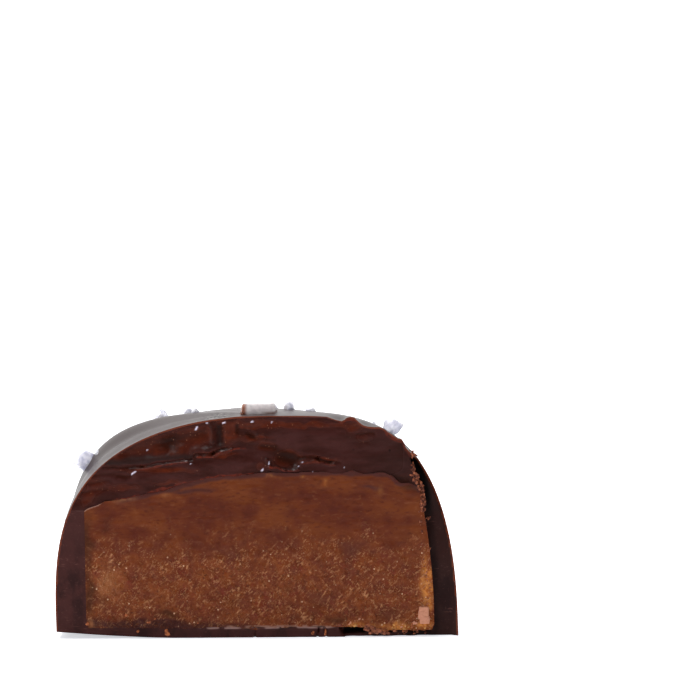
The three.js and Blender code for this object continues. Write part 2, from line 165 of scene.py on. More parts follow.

# Golden, dark and mauve places of the caramel: x, z, half width, half height, strength. The golden
# ones are partly golden specks and crumbs and partly painted light: a highlight on the lower left,
# and light shining through the right edge and the lower right.
GOLDEN = [
    (14.25, 4.4, 0.5, 2.3, 1.1), (14.0, 0.9, 0.5, 0.35, 0.9), (11.7, 0.9, 1.9, 0.4, 0.9),
    (8.2, 1.1, 0.7, 0.35, 0.9), (-12.9, 4.8, 0.7, 1.4, 0.6), (-11.9, 5.0, 0.8, 1.8, 0.35),
    (-14.1, 1.3, 0.4, 0.5, 0.7),
    (-11.0, 11.9, 1.5, 0.25, 0.45), (-7.8, 12.3, 0.6, 0.25, 0.35), (1.4, 13.8, 0.5, 0.2, 0.4),
    (5.8, 13.3, 0.4, 0.45, 0.4), (10.5, 12.6, 0.4, 0.8, 0.25), (3.9, 13.9, 0.3, 0.2, 0.35),
]
DARK = [
    (-7.4, 2.1, 1.0, 0.4, 1.0), (6.7, 1.5, 0.9, 0.35, 0.8), (-2.0, 3.2, 0.7, 0.5, 0.4),
    (2.6, 4.2, 0.5, 0.4, 0.5), (12.6, 12.7, 0.7, 0.3, 0.8), (-14.1, 3.6, 0.5, 2.0, 1.0),
    (-14.2, 8.4, 0.5, 2.6, 0.8), (-12.9, 3.2, 0.6, 0.9, 0.5), (-12.6, 9.6, 0.5, 1.4, 0.35),
    (4.0, 1.8, 1.6, 0.4, 0.4),
]
MAUVE = [
    (-9.6, 1.15, 4.0, 0.5, 1.5), (-14.2, 1.4, 0.7, 0.4, 0.8), (-2.5, 1.0, 3.0, 0.25, 0.7),
    (8.1, 7.6, 1.0, 0.9, 0.5), (5.2, 3.2, 1.4, 0.8, 0.5), (11.2, 2.0, 1.4, 0.7, 0.5),
    (-2.2, 7.4, 1.2, 0.8, 0.4), (9.4, 12.9, 0.9, 0.3, 0.7), (-5.5, 12.6, 2.2, 0.25, 0.8),
]

# Salt grains that show at the cut: bearing, climb, length, width, height, turn, and the share of
# its width that a grain keeps at its tip
SHOWN_GRAINS = [
    (162, 35.5, 1.9, 1.5, 1.6, 20, 0.9),
    (164, 42, 0.6, 0.4, 0.45, 70, 0.8),
    (150, 65, 1.9, 1.7, 1.5, 45, 0.15),
    (148, 73, 0.9, 0.8, 0.8, 10, 0.8),
    (154, 79, 1.0, 0.8, 0.75, 60, 0.4),
    (151, 89.2, 3.6, 1.5, 1.35, 0, 0.9),
    (86, 78, 0.9, 0.7, 0.7, 30, 0.5),
    (64, 81, 1.2, 1.1, 1.1, 80, 0.7),
    (34, 80, 1.15, 0.9, 0.65, 15, 0.6),
    (5, 67, 0.5, 0.45, 0.45, 0, 0.6),
    (7, 60, 1.45, 1.3, 1.6, 50, 1),
]
# The rest are scattered over the back, clear of the cut.
SCATTERED = 27
LARGE_GRAINS = 3
SCATTER = dict(bearing=(12, 168), climb=(5, 64), size=(0.9, 2.0), large=(2.7, 3.4))
SCATTER_DEPTH = (4.5, 16.2)
GRAIN_SINK = 0.2  # how deep a grain is sunk in the coat, and the share of its height more
GRAIN_SINK_SHARE = 0.15
CHIP_SKEW = 0.7  # how far a corner of a grain or chip strays from its edge's middle
CHIP_LEAST = 0.72  # least share of the full size that a corner reaches
CHIP_CREASE = 0.8  # how sharp a chip's edges stay where it is rounded
WORN_EDGE = 0.06  # how far a salt grain's edges are worn

# Broken chocolate down the filling's right side: x, z, half width. Single curls: x, z, size.
FLAKE_BAND = [
    (13.05, 14.9, 0.12), (13.1, 14.1, 0.3), (13.6, 13.2, 0.3), (13.9, 12.4, 0.2), (13.95, 11.6, 0.2),
    (14.0, 10.8, 0.15),
]
EDGE_CRUMBS = [(13.75, 10.9, 0.12), (14.02, 7.5, 0.1), (14.2, 5.5, 0.08), (14.5, 2.9, 0.05)]
CURLS = [(14.25, 10.0, 0.7), (14.4, 7.45, 0.5), (14.6, 4.35, 0.4), (14.62, 2.9, 0.2), (13.1, 15.62, 0.85)]
# Bits of chocolate and caramel that lie before the lower edge: x, z, length, height
BITS = [
    (-11.05, 2.03, 0.3, 0.25), (-9.12, 1.41, 0.4, 0.35), (-7.54, 0.5, 0.55, 0.75), (-10.06, 0.64, 0.3, 0.3),
    (-14.3, 1.3, 0.35, 0.3), (-8.6, 1.7, 0.2, 0.15), (-12.6, 1.5, 0.25, 0.2), (-5.0, 1.3, 0.2, 0.2),
    (13.1, 1.0, 0.25, 0.5), (12.3, 0.5, 0.3, 0.3), (10.8, 0.52, 0.8, 0.12), (-10.6, 1.1, 0.15, 0.2),
    (4.65, 0.35, 0.3, 0.35), (5.75, 0.4, 0.25, 0.5),
]
# Broken bits of the base plate: x, z, length, height, turn. Pale crumbs: x, z, length.
BROKEN_BITS = [
    (9.3, 0.95, 0.6, 1.1, 0.3), (9.85, 0.62, 1.1, 0.55, 0.6), (10.4, 0.46, 1.1, 0.4, 0.4),
    (10.9, 0.36, 0.7, 0.25, 0.3), (9.6, 0.36, 0.5, 0.3, 0.0), (11.6, 0.5, 0.4, 0.25, 0.1),
]
PALE_CHUNK_AT = (14.1, 1.85)
PALE_CRUMBS = [(8.45, 1.6, 0.4), (7.85, 1.2, 0.2), (12.2, 0.95, 0.25), (13.3, 1.15, 0.3)]
COUNTS = dict(flakes=260, edge_flakes=110, golden=70, corner=24, base=40)

# Rough patches of the coat: x, y, z, half width
SCUFFS = [(-3.0, 1.2, 18.7, 1.0), (11.4, 1.0, 17.2, 0.9)]

# Fineness: parts of a turn, steps up a profile, and cells of the cut faces in mm
DOME_TURNS = 480
DOME_STEPS = 110
LAYER_TURNS = 160
LAYER_STEPS = 56
SHELL_CELL = 0.12
GANACHE_CELL = 0.085
CARAMEL_CELL = 0.09

# Camera: the photo's view, worked out for its 700 x 700 px
CAMERA_AT = (7.97, -290.65, 73.89)
CAMERA_PITCH = 9.64
CAMERA_ROLL = 0.40
FOCAL_PX = 3546
FRAME_PX = 700

# Where the studio's light comes from, and how bright it is from the dim side to the bright side
BRIGHT_SIDE = (-0.55, 0.8, 0.25)
WORLD_LIGHT = {"From Min": -0.25, "From Max": 0.9, "To Min": 0.05, "To Max": 1.58}


def mix(a, b, share):
    return a + (b - a) * share


def smooth(share):
    share = np.clip(share, 0, 1)
    return share * share * (3 - 2 * share)


def ramp(value, start, end):
    return smooth((value - start) / (end - start))


def bell(offset, width):
    """1 in the middle, falling off smoothly on both sides."""
    return np.exp(-((offset / width) ** 2))


def follow(table, keys):
    """Values of a [key, value] table, with a smooth blend between two rows."""
    values = np.full_like(keys, table[0][1], dtype=float)
    for (k0, v0), (k1, v1) in zip(table, table[1:]):
        values = np.where(keys >= k0, mix(v0, v1, smooth((keys - k0) / (k1 - k0))), values)
    return values


class Draw:
    """A seeded draw from 0 to 1, the same on every run and the same as in the part's source."""

    def __init__(self, seed):
        self.state = seed

    def __call__(self):
        self.state = (self.state * 1664525 + 1013904223) % 4294967296
        return self.state / 4294967296

    def between(self, low, high):
        return mix(low, high, self())


def lattice(ix, iy, iz, seed):
    """A fixed random value from -1 to 1 for each whole-numbered point."""
    mixed = ix * 374761393 + iy * 668265263 + iz * 2147483647 + seed * 974634777
    mixed = (mixed ^ (mixed >> 13)) * 1274126177
    mixed = mixed ^ (mixed >> 16)
    return (mixed & 0xFFFFFF) / 0x7FFFFF - 1


def noise(x, y, z, size, seed=0):
    """Smooth noise from -1 to 1 with features of about `size`."""
    cells = [np.asarray(value, dtype=float) / size for value in np.broadcast_arrays(x, y, z)]
    whole = [np.floor(cell).astype(np.int64) for cell in cells]
    shares = [smooth(cell - base) for cell, base in zip(cells, whole)]
    total = 0
    for corner in range(8):
        steps = [corner & 1, corner >> 1 & 1, corner >> 2 & 1]
        weight = 1
        for step, share in zip(steps, shares):
            weight = weight * (share if step else 1 - share)
        total = total + weight * lattice(*(base + step for base, step in zip(whole, steps)), seed)
    return total


def layered(x, y, z, size, seed=0, octaves=3):
    """Noise in several finenesses, each half as strong as the one before."""
    return sum(noise(x, y, z, size / 2**i, seed + i) / 2**i for i in range(octaves))


def dome_profile(bearing, climb, inset=0.0):
    """Radius and height on the candy's outside, or `inset` inside it."""
    bearing, climb = np.broadcast_arrays(np.abs(bearing), climb)
    fullness = follow(FULLNESS, bearing)
    phi = np.radians(climb)
    out = np.clip(np.cos(phi), 0, 1) ** (2 / fullness)
    up = np.sin(phi) ** (2 / fullness)
    normal_r = out ** (fullness - 1) / RADIUS
    normal_z = up ** (fullness - 1) / HEIGHT
    length = np.hypot(normal_r, normal_z)
    cosine = np.cos(np.radians(bearing))
    long = np.where(cosine > 0, SWAY_RIGHT[0], SWAY_LEFT[0])
    short = np.where(cosine > 0, SWAY_RIGHT[1], SWAY_LEFT[1])
    sway = cosine**4 * (long * np.sin(2 * phi) + short * np.sin(4 * phi))
    offset = (sway - inset) / length
    return np.maximum(RADIUS * out + offset * normal_r, 0), HEIGHT * up + offset * normal_z


def place(bearing, r, z):
    """Points at radius r and height z. Smaller rings lie nearer to the apex, in plan."""
    angle = np.radians(bearing)
    share = 1 - r / RADIUS
    x = APEX[0] * share + r * np.cos(angle)
    y = APEX[1] * share + r * np.sin(angle)
    return np.stack(np.broadcast_arrays(x, y, z), axis=-1)


def climb_until(holds, bearing):
    """The first climb at which a test of the profile holds, found by halving."""
    low = np.zeros_like(bearing)
    high = np.full_like(bearing, 90.0)
    for _ in range(30):
        middle = (low + high) / 2
        passed = holds(middle)
        high = np.where(passed, middle, high)
        low = np.where(passed, low, middle)
    return high


def filling_at(bearing):
    """The filling's sizes at a bearing, blended from the two ends of the cut."""
    share = (1 + np.cos(np.radians(bearing))) / 2
    sizes = {key: mix(LEFT[key], RIGHT[key], share) for key in LEFT}
    meets = climb_until(
        lambda climb: dome_profile(bearing, climb, COAT)[0] < sizes["neck"] + NECK_LEDGE, bearing
    )
    sizes["neck_z"] = np.minimum(sizes["neck_z"], dome_profile(bearing, meets, COAT)[1])
    return sizes


def climb_to_apex(bearing, start, inset, steps):
    """Columns of radius and height from `start` up the dome to the apex."""
    shares = (np.arange(steps + 1) / steps) ** 0.9
    climb = start[:, None] + (90 - start[:, None]) * shares
    r, z = dome_profile(bearing[:, None], climb, inset)
    r[:, -1] = 0
    return r, z


def arch_columns(bearing, sizes):
    """Radius and height along the caramel's arched top, out to its rim."""
    shares = np.linspace(1, 0, LAYER_STEPS)
    r = sizes["rim"][:, None] * shares
    drop = (CARAMEL_TOP - sizes["rim_z"])[:, None] * shares ** sizes["arch"][:, None]
    x, y, _ = np.moveaxis(place(bearing[:, None], r, 0 * r), -1, 0)
    return r, CARAMEL_TOP - drop + seam_wobble(x, y)


def seam_wobble(x, y):
    """Unevenness of the seam between caramel and ganache."""
    near_cut = bell(y, 4)
    wobble = 0.10 * layered(x, y, 0, 1.6, seed=5) + 0.06 * noise(x, y, 0, 0.35, seed=9)
    wobble = wobble + 0.09 * noise(x, y, 0, 0.6, seed=10) * (x < -5)
    dip = 0.5 * bell(x - 12.1, 0.55) - 0.38 * bell(x + 13.0, 1.3)
    return near_cut * (wobble - dip)


def columns(*pairs):
    """Joins single rows and blocks of rows into one array of radii and one of heights."""
    radii, heights = [], []
    for r, z in pairs:
        r, z = np.broadcast_arrays(r, z)
        radii.append(r[:, None] if r.ndim == 1 else r)
        heights.append(z[:, None] if z.ndim == 1 else z)
    return np.hstack(radii), np.hstack(heights)


def outside_columns(bearing):
    """The candy's outside, with its coat a little uneven."""
    zero = 0 * bearing
    r, z = climb_to_apex(bearing, zero, 0, DOME_STEPS)
    x, y, _ = np.moveaxis(place(bearing[:, None], r, z), -1, 0)
    swell = 0.02 * noise(x, y, z, 9.0, seed=3) * ramp(z, 0, 4) * ramp(z, HEIGHT, 16)
    base_r = r[:, :1] * np.linspace(0, 1, 16)[:-1]
    base_x = place(bearing[:, None], base_r, 0)[..., 0]
    side = np.maximum(r + swell - DOME_INSET, 0) * (r > 0)
    return columns((base_r, lift_at(base_x, 0 * base_x)), (side, z + lift_at(x, z)))


def lift_at(x, z):
    """How far the base plate's left end curls up off the ground."""
    share = np.clip((BASE_LIFT["start"] - x) / (RADIUS + BASE_LIFT["start"]), 0, 1)
    return BASE_LIFT["height"] * share ** BASE_LIFT["power"] * np.clip(1 - z / BASE_LIFT["fade"], 0, 1)


def cavity_columns(bearing):
    """The room that the filling takes up in the shell."""
    zero = 0 * bearing
    f = filling_at(bearing)
    start = climb_until(lambda climb: dome_profile(bearing, climb, COAT)[1] > f["neck_z"], bearing)
    return columns(
        (zero, zero + FLOOR),
        (f["foot"] - FOOT_ROUND, zero + FLOOR),
        (f["foot"], zero + FLOOR + FOOT_ROUND),
        side_columns(f),
        (f["neck"], f["neck_z"]),
        climb_to_apex(bearing, start, COAT, LAYER_STEPS),
    )


def side_columns(sizes):
    """Radius and height up the filling's bulging side, between its foot and its rim."""
    share = np.linspace(0.05, 1, 24)
    r = mix(sizes["foot"][:, None], sizes["rim"][:, None], share**2)
    return r, mix(FLOOR + FOOT_ROUND, sizes["rim_z"][:, None], share)


def caramel_columns(bearing):
    zero = 0 * bearing
    f = filling_at(bearing)
    floor_r = (f["foot"] - FOOT_ROUND)[:, None] * np.linspace(0, 1, 60)
    floor_x = place(bearing[:, None], floor_r, 0)[..., 0]
    sag = 0.12 * layered(floor_x, 0, 0, 1.8, seed=15) + 0.06 * noise(floor_x, 0, 0, 0.4, seed=17)
    sag = np.minimum(sag, 0.03) - 0.35 * ramp(floor_x, 9.6, 10.4)
    return columns(
        (floor_r, FLOOR + sag),
        (f["foot"], zero + FLOOR + FOOT_ROUND),
        [rows[:, :-1] for rows in side_columns(f)],
        arch_columns(bearing, f),
    )


def ganache_columns(bearing):
    f = filling_at(bearing)
    start = climb_until(lambda climb: dome_profile(bearing, climb, COAT)[1] > f["neck_z"], bearing)
    arch_r, arch_z = arch_columns(bearing, f)
    return columns(
        (arch_r[:, ::-1], arch_z[:, ::-1]),
        (f["neck"], f["neck_z"]),
        climb_to_apex(bearing, start, COAT, LAYER_STEPS),
    )


def add_object(name, data):
    made = bpy.data.objects.new(name, data)
    bpy.context.collection.objects.link(made)
    return made


def mesh_object(name, points, faces):
    """A mesh object from points in mm round the candy's middle."""
    mesh = bpy.data.meshes.new(name)
    in_frame = np.asarray(points) * MM + (0, CUT_Y, 0)
    mesh.from_pydata(in_frame.tolist(), [], faces)
    mesh.validate()
    return add_object(name, mesh)


def turned_body(name, columns_at, turns):
    """A closed body whose profile changes with the bearing, all the way round."""
    bearing = (np.arange(turns) + 0.5) * 360 / turns - 180
    r, z = columns_at(bearing)
    points = place(bearing[:, None], r, z)
    points[..., 2] += nick_at(*np.moveaxis(points, -1, 0))
    inner = points[:, 1:-1].reshape(-1, 3)
    rows = points.shape[1] - 2
    ends = len(inner), len(inner) + 1
    faces = []
    for i in range(turns):
        here, there = i * rows, (i + 1) % turns * rows
        faces.append((ends[0], there, here))
        faces.append((ends[1], here + rows - 1, there + rows - 1))
        faces.extend((here + j, there + j, there + j + 1, here + j + 1) for j in range(rows - 1))
    return mesh_object(name, np.vstack([inner, points[0, 0], points[0, -1]]), faces)


def block_behind(name, depth_at, cell, span_x, span_z):
    """Everything behind the cut: a block whose front is a height field, y = depth_at(x, z)."""
    xs = np.arange(span_x[0], span_x[1] + cell, cell)
    zs = np.arange(span_z[0], span_z[1] + cell, cell)
    x, z = np.meshgrid(xs, zs)
    front = np.stack([x, depth_at(x, z), z], axis=-1).reshape(-1, 3)
    number = np.arange(x.size).reshape(x.shape)
    border = np.concatenate([number[0, :-1], number[:-1, -1], number[-1, :0:-1], number[:0:-1, 0]])
    back = front[border] * (1, 0, 1) + (0, RADIUS + 3, 0)
    quads = np.stack([number[:-1, :-1], number[:-1, 1:], number[1:, 1:], number[1:, :-1]], axis=-1)
    faces = quads.reshape(-1, 4).tolist()
    behind = x.size + np.arange(len(border))
    for i in range(len(border)):
        j = (i + 1) % len(border)
        faces.append((border[i], behind[i], behind[j], border[j]))
    faces.append(behind[::-1].tolist())
    return mesh_object(name, np.vstack([front, back]), [[int(v) for v in face] for face in faces])


def combine(body, other, operation):
    """Cuts or joins two closed meshes, keeps the first and removes the other."""
    step = body.modifiers.new(operation, "BOOLEAN")
    step.operation = operation
    step.solver = "MANIFOLD"
    step.object = other
    result = bpy.data.meshes.new_from_object(body.evaluated_get(bpy.context.evaluated_depsgraph_get()))
    body.modifiers.clear()
    body.data = result
    bpy.data.objects.remove(other)


def segment_distance(x, z, x0, z0, x1, z1):
    """Distance from a segment."""
    dx, dz = x1 - x0, z1 - z0
    share = np.clip(((x - x0) * dx + (z - z0) * dz) / (dx * dx + dz * dz), 0, 1)
    return np.hypot(x - x0 - share * dx, z - z0 - share * dz)


def cut_points(r, z, side):
    """x and z where rings of the given radii and heights cross the cut, on one side (1 or -1)."""
    back = APEX[1] * (1 - r / RADIUS)
    x = APEX[0] * (1 - r / RADIUS) + side * np.sqrt(np.maximum(r * r - back * back, 0))
    return np.stack([x, z], axis=-1)


def outline_at_cut(rings_at):
    """The line that rings draw at the cut, from its left end to its right end."""
    left = cut_points(*rings_at(180.0), -1)
    right = cut_points(*rings_at(0.0), 1)
    return np.vstack([left, right[::-1]])


def outline_of_dome():
    climb = np.linspace(0, 90, 60)
    return outline_at_cut(lambda bearing: dome_profile(bearing, climb))


def seam_rings(bearing):
    """Radii and heights of the seam between caramel and ganache at one bearing."""
    single = np.array([bearing])
    r, z = arch_columns(single, filling_at(single))
    return r[0], z[0]


def outline_of_seam():
    return outline_at_cut(seam_rings)


def distance_to(outline, x, z):
    """Distance from a run of points, as seen in the cut."""
    nearest = np.full(np.shape(x), 99.0)
    for (x0, z0), (x1, z1) in zip(outline, outline[1:]):
        if (x0, z0) != (x1, z1):
            nearest = np.minimum(nearest, segment_distance(x, z, x0, z0, x1, z1))
    return nearest


def places_at(table, x, z, seed):
    """How strongly a point belongs to the places of a table, with wandering borders."""
    x = x + 0.3 * noise(x, 0, z, 0.9, seed=seed)
    z = z + 0.2 * noise(x, 0, z, 0.7, seed=seed + 5)
    reach = [s * np.exp(-(((x - px) / w) ** 2) - ((z - pz) / h) ** 2) for px, pz, w, h, s in table]
    return np.clip(sum(reach), 0, 1)


def nick_at(x, y, z):
    """How far the rim rises or falls near the cut."""
    rise = np.interp(x, *zip(*NICKS), left=0, right=0)
    return rise * bell(y, NICK_REACH) * ramp(z, 13.0, 15.0)


def right_edge(z):
    """x of the cut's right outline at a height."""
    n = FULLNESS[0][1]
    return RADIUS * np.clip(1 - (np.clip(z, 0, HEIGHT) / HEIGHT) ** n, 0, 1) ** (1 / n)


def shell_depth(x, z):
    """How far the shell's cut face lies behind the cut: broken on the right, cracked at the foot."""
    depth = 0.02 * layered(x, 0, z, 1.5, seed=21)
    inner = mix(BROKEN_FACE["low_depth"], BROKEN_FACE["depth"], ramp(z, 6, 11))
    inner = inner * (1 + 0.12 * layered(x, 0, z, 2.0, seed=23))
    share = np.clip((right_edge(z) - x) / BROKEN_FACE["bevel"], 0, 1)
    on_face = (x > BROKEN_FACE["start"]) & (z < BROKEN_FACE["top"])
    depth = np.where(on_face, mix(BROKEN_FACE["at_edge"], inner, share), depth)
    ragged = 0.35 * layered(x, 0, z, 0.8, seed=25)
    crumbled = ramp(x + ragged, CRUMBLED["start"] - 0.3, CRUMBLED["start"])
    crumbled = crumbled * (x < CRUMBLED["end"]) * (z < CRUMBLED["top"])
    remains_top = mix(0.22, 0.45, ramp(x, 9.0, 9.3)) + 0.15 * noise(x, 0, 0, 0.7, seed=33)
    remains = ramp(z, remains_top + 0.1, remains_top)
    depth = mix(depth, mix(CRUMBLED["depth"], 0.3 + ragged * 0.3, remains), crumbled)
    ledge = bell(z - 0.84, 0.1) * ramp(x, -5.5, -4.0) * ramp(x, 7.1, 6.8)
    depth = depth - 0.1 * ledge * (0.6 + 0.8 * noise(x, 0, 0, 0.8, seed=35))
    for crack_x, lean in ((-0.15, 0.12), (5.15, 0.2), (5.75, -0.1)):
        across = np.abs(x - crack_x - lean * (z - 0.5) - 0.06 * noise(x, 0, z, 0.25, seed=31))
        depth = depth + 0.3 * bell(across, 0.06) * (z < 0.85)
    return depth


def caramel_depth(x, z):
    smooth_top = ramp(z, 6.5, 10)
    grain = 0.08 * layered(x, 0, z, 0.6, seed=41, octaves=3)
    squiggles = np.abs(noise(x, 0, z, 0.45, seed=47)) < 0.12
    grain = grain - 0.03 * squiggles * ramp(noise(x, 0, z, 0.9, seed=48), -0.2, 0.3)
    streaks = 0.02 * layered(x * 0.35, 0, z, 0.3, seed=43, octaves=2)
    return mix(grain, streaks, smooth_top) - CARAMEL_PROUD


def marks_at(x, z):
    """Depth, painted hollow shade, dull tone and painted shine-through that the marks add up to."""
    wander_x = 0.12 * noise(x, 0, z, 0.8, seed=62)
    wander_z = 0.09 * noise(x, 0, z, 0.6, seed=61) + 0.03 * noise(x, 0, z, 0.2, seed=63)
    totals = np.zeros((4, *np.shape(x)))
    for *ends, width, depth, deep, dull, rust in MARKS:
        reach = bell(segment_distance(x + wander_x, z + wander_z, *ends), width)
        totals += reach * np.reshape([depth, deep, dull, rust], (4, *[1] * np.ndim(x)))
    return totals


def ganache_depth(x, z):
    tilted = z - 0.09 * x
    streaks = 0.05 * layered(x * 0.3, 0, tilted, 0.75, seed=51, octaves=3)
    fine = 0.008 * layered(x * 0.5, 0, tilted, 0.22, seed=57, octaves=2)
    return np.maximum(streaks + fine + marks_at(x, z)[0], -MOST_PROUD)


def places_of(mesh):
    """x, y and z in mm of each vertex, with y counted from the cut."""
    points = np.empty(len(mesh.vertices) * 3)
    mesh.vertices.foreach_get("co", points)
    return (points.reshape(-1, 3) / MM - (0, CUT_Y / MM, 0)).T


def on_cut(mesh, depth_at):
    """Which faces of a mesh lie on the cut's height field."""
    x, y, z = places_of(mesh)
    near = np.abs(y - depth_at(x, z)) < FACE_SLACK
    return np.array([all(near[v] for v in face.vertices) for face in mesh.polygons])


def add_attributes(body, **values):
    """Numbers at each vertex, worked out from its place in mm."""
    for name, value_at in values.items():
        layer = body.data.attributes.new(name, "FLOAT", "POINT")
        layer.data.foreach_set("value", value_at(*places_of(body.data)).astype(np.float32))


def finish_solid(body, materials, sharp_angle):
    body.data.materials.clear()
    for material in materials:
        body.data.materials.append(material)
    body.data.shade_smooth()
    body.data.set_sharp_from_angle(angle=math.radians(sharp_angle))
    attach(body, "root")


class Shader:
    """A principled material and short ways to wire its nodes, with places in mm."""

    def __init__(self, name, **sockets):
        self.material = bpy.data.materials.new(name)
        self.material.use_nodes = True
        self.tree = self.material.node_tree
        self.main = self.tree.nodes["Principled BSDF"]
        for socket, value in sockets.items():
            self.main.inputs[socket.replace("_", " ")].default_value = value
        self.place = self.tree.nodes.new("ShaderNodeTexCoord").outputs["Object"]
        self.base = None

    def node(self, kind, inputs=(), **settings):
        made = self.tree.nodes.new("ShaderNode" + kind)
        for key, value in settings.items():
            setattr(made, key, value)
        for key, value in dict(inputs).items():
            if isinstance(value, bpy.types.NodeSocket):
                self.tree.links.new(value, made.inputs[key])
            else:
                made.inputs[key].default_value = value
        return made

    def scaled_place(self, stretch, turn=0):
        """The place in mm, turned in the cut's plane and then stretched."""
        turned = self.node("Mapping", {"Vector": self.place, "Rotation": (0, turn, 0)}).outputs[0]
        scale = [value / MM for value in stretch]
        return self.node("Mapping", {"Vector": turned, "Scale": scale}).outputs[0]

    def noise(self, size, detail=3, stretch=(1, 1, 1), roughness=0.55, turn=0):
        """Noise from 0 to 1 with features of about `size` mm, divided by the stretch."""
        inputs = {
            "Vector": self.scaled_place(stretch, turn),
            "Scale": 1 / size,
            "Detail": detail,
            "Roughness": roughness,
        }
        return self.node("TexNoise", inputs).outputs["Fac"]

    def cells(self, size):
        """Distance from the middle of the nearest of many cells of about `size` mm."""
        inputs = {"Vector": self.scaled_place((1, 1, 1)), "Scale": 1 / size}
        return self.node("TexVoronoi", inputs).outputs["Distance"]

    def axis(self, name):
        """One coordinate in mm, with y counted from the cut."""
        moved = self.node("Mapping", {"Vector": self.place, "Location": (0, -CUT_Y, 0)}).outputs[0]
        scaled = self.node("VectorMath", {0: moved, "Scale": 1 / MM}, operation="SCALE").outputs[0]
        return self.node("SeparateXYZ", {0: scaled}).outputs[name]

    def attribute(self, name):
        return self.node("Attribute", attribute_name=name).outputs["Fac"]

    def span(self, value, start, end, low=0.0, high=1.0):
        inputs = {"Value": value, "From Min": start, "From Max": end, "To Min": low, "To Max": high}
        return self.node("MapRange", inputs, interpolation_type="SMOOTHSTEP").outputs[0]

    def math(self, operation, a, b=0.0):
        return self.node("Math", {0: a, 1: b}, operation=operation).outputs[0]

    def both(self, a, b):
        return self.math("MULTIPLY", a, b)

    def colour(self, share, first, second):
        """Two colours blended by a share."""
        inputs = {"Factor": share, "A": first, "B": second}
        made = self.tree.nodes.new("ShaderNodeMix")
        made.data_type = "RGBA"
        for socket in made.inputs:
            if socket.name in inputs and socket.type in ("RGBA", "VALUE") and socket.enabled:
                value = inputs[socket.name]
                if isinstance(value, bpy.types.NodeSocket):
                    self.tree.links.new(value, socket)
                else:
                    socket.default_value = value
        return next(s for s in made.outputs if s.enabled)

    def paint(self, share, colour):
        """Lays a colour over the base colour so far."""
        self.base = self.colour(share, self.base, colour)

    def bump(self, height, distance, strength=1.0, normal=None):
        inputs = {"Height": height, "Distance": distance * MM, "Strength": strength}
        if normal is not None:
            inputs["Normal"] = normal
        return self.node("Bump", inputs).outputs[0]

    def glow(self, weight, reach, by_colour):
        """Light that spreads under the surface, up to a reach in mm for each colour."""
        self.main.inputs["Subsurface Weight"].default_value = weight
        self.main.inputs["Subsurface Scale"].default_value = reach * MM
        self.main.inputs["Subsurface Radius"].default_value = by_colour

    def drive(self, **sockets):
        for socket, value in sockets.items():
            self.tree.links.new(value, self.main.inputs[socket.replace("_", " ")])


def srgb(red, green, blue):
    """A colour read off a screen, 0 to 255, as Blender's linear values."""
    linear = [
        c / 255 / 12.92 if c / 255 <= 0.04045 else ((c / 255 + 0.055) / 1.055) ** 2.4
        for c in (red, green, blue)
    ]
    return (*linear, 1.0)


def coat_material():
    s = Shader("dark_chocolate_coat", IOR=1.55, Sheen_Weight=0.12, Sheen_Roughness=0.2)
    cloud = s.noise(5.0, detail=2)
    s.base = s.colour(cloud, srgb(40, 25, 23), srgb(50, 33, 31))
    rubbed = s.colour(s.span(s.noise(0.3, detail=4), 0.4, 0.65), srgb(34, 30, 30), srgb(128, 122, 120))
    s.paint(s.attribute("scuff"), rubbed)
    s.drive(Base_Color=s.base)
    rough = s.span(s.noise(1.5), 0.3, 0.7, 0.36, 0.42)
    s.drive(Roughness=s.math("ADD", rough, s.both(s.attribute("scuff"), 0.3)))
    scratch = s.both(s.noise(0.2, detail=3), s.span(s.attribute("scuff"), 0, 1, 0.01, 1))
    s.drive(Normal=s.bump(scratch, 0.06, 0.8))
    return s.material


def cut_chocolate_material():
    s = Shader("dark_chocolate_cut", Roughness=0.5, IOR=1.45, Specular_IOR_Level=0.22)
    mottle = s.noise(0.8, detail=4)
    s.base = s.colour(mottle, srgb(62, 28, 26), srgb(78, 38, 34))
    # painted shade: darker towards the broken right wall, whose face lies sunk behind the filling
    s.paint(s.span(s.axis("X"), 11.0, 13.5), srgb(54, 26, 22))
    blotch = s.span(s.noise(1.8, detail=5, stretch=(1, 1, 0.6), roughness=0.6), 0.45, 0.62, 0, 0.7)
    s.paint(s.both(blotch, s.span(s.axis("Z"), 10, 5)), srgb(42, 18, 18))
    scratch = s.span(s.noise(0.14, detail=2, stretch=(0.15, 1, 1)), 0.6, 0.72, 0, 0.45)
    scratch = s.both(scratch, s.span(s.noise(1.5, detail=1), 0.5, 0.6))
    s.paint(scratch, srgb(112, 68, 60))
    speck = s.span(s.noise(0.2, detail=2), 0.62, 0.75, 0, 0.3)
    s.paint(speck, srgb(104, 64, 58))
    s.paint(s.attribute("shade"), srgb(14, 6, 5))
    # painted light along the cut's thin outer edge
    s.paint(s.span(s.attribute("rim"), 0.1, 0.9, 0, 0.85), srgb(118, 54, 30))
    s.paint(s.span(s.attribute("pale"), 0.1, 0.9), srgb(160, 124, 116))
    s.drive(Base_Color=s.base)
    s.drive(Normal=s.bump(s.noise(0.25, detail=4), 0.03, 0.7))
    return s.material


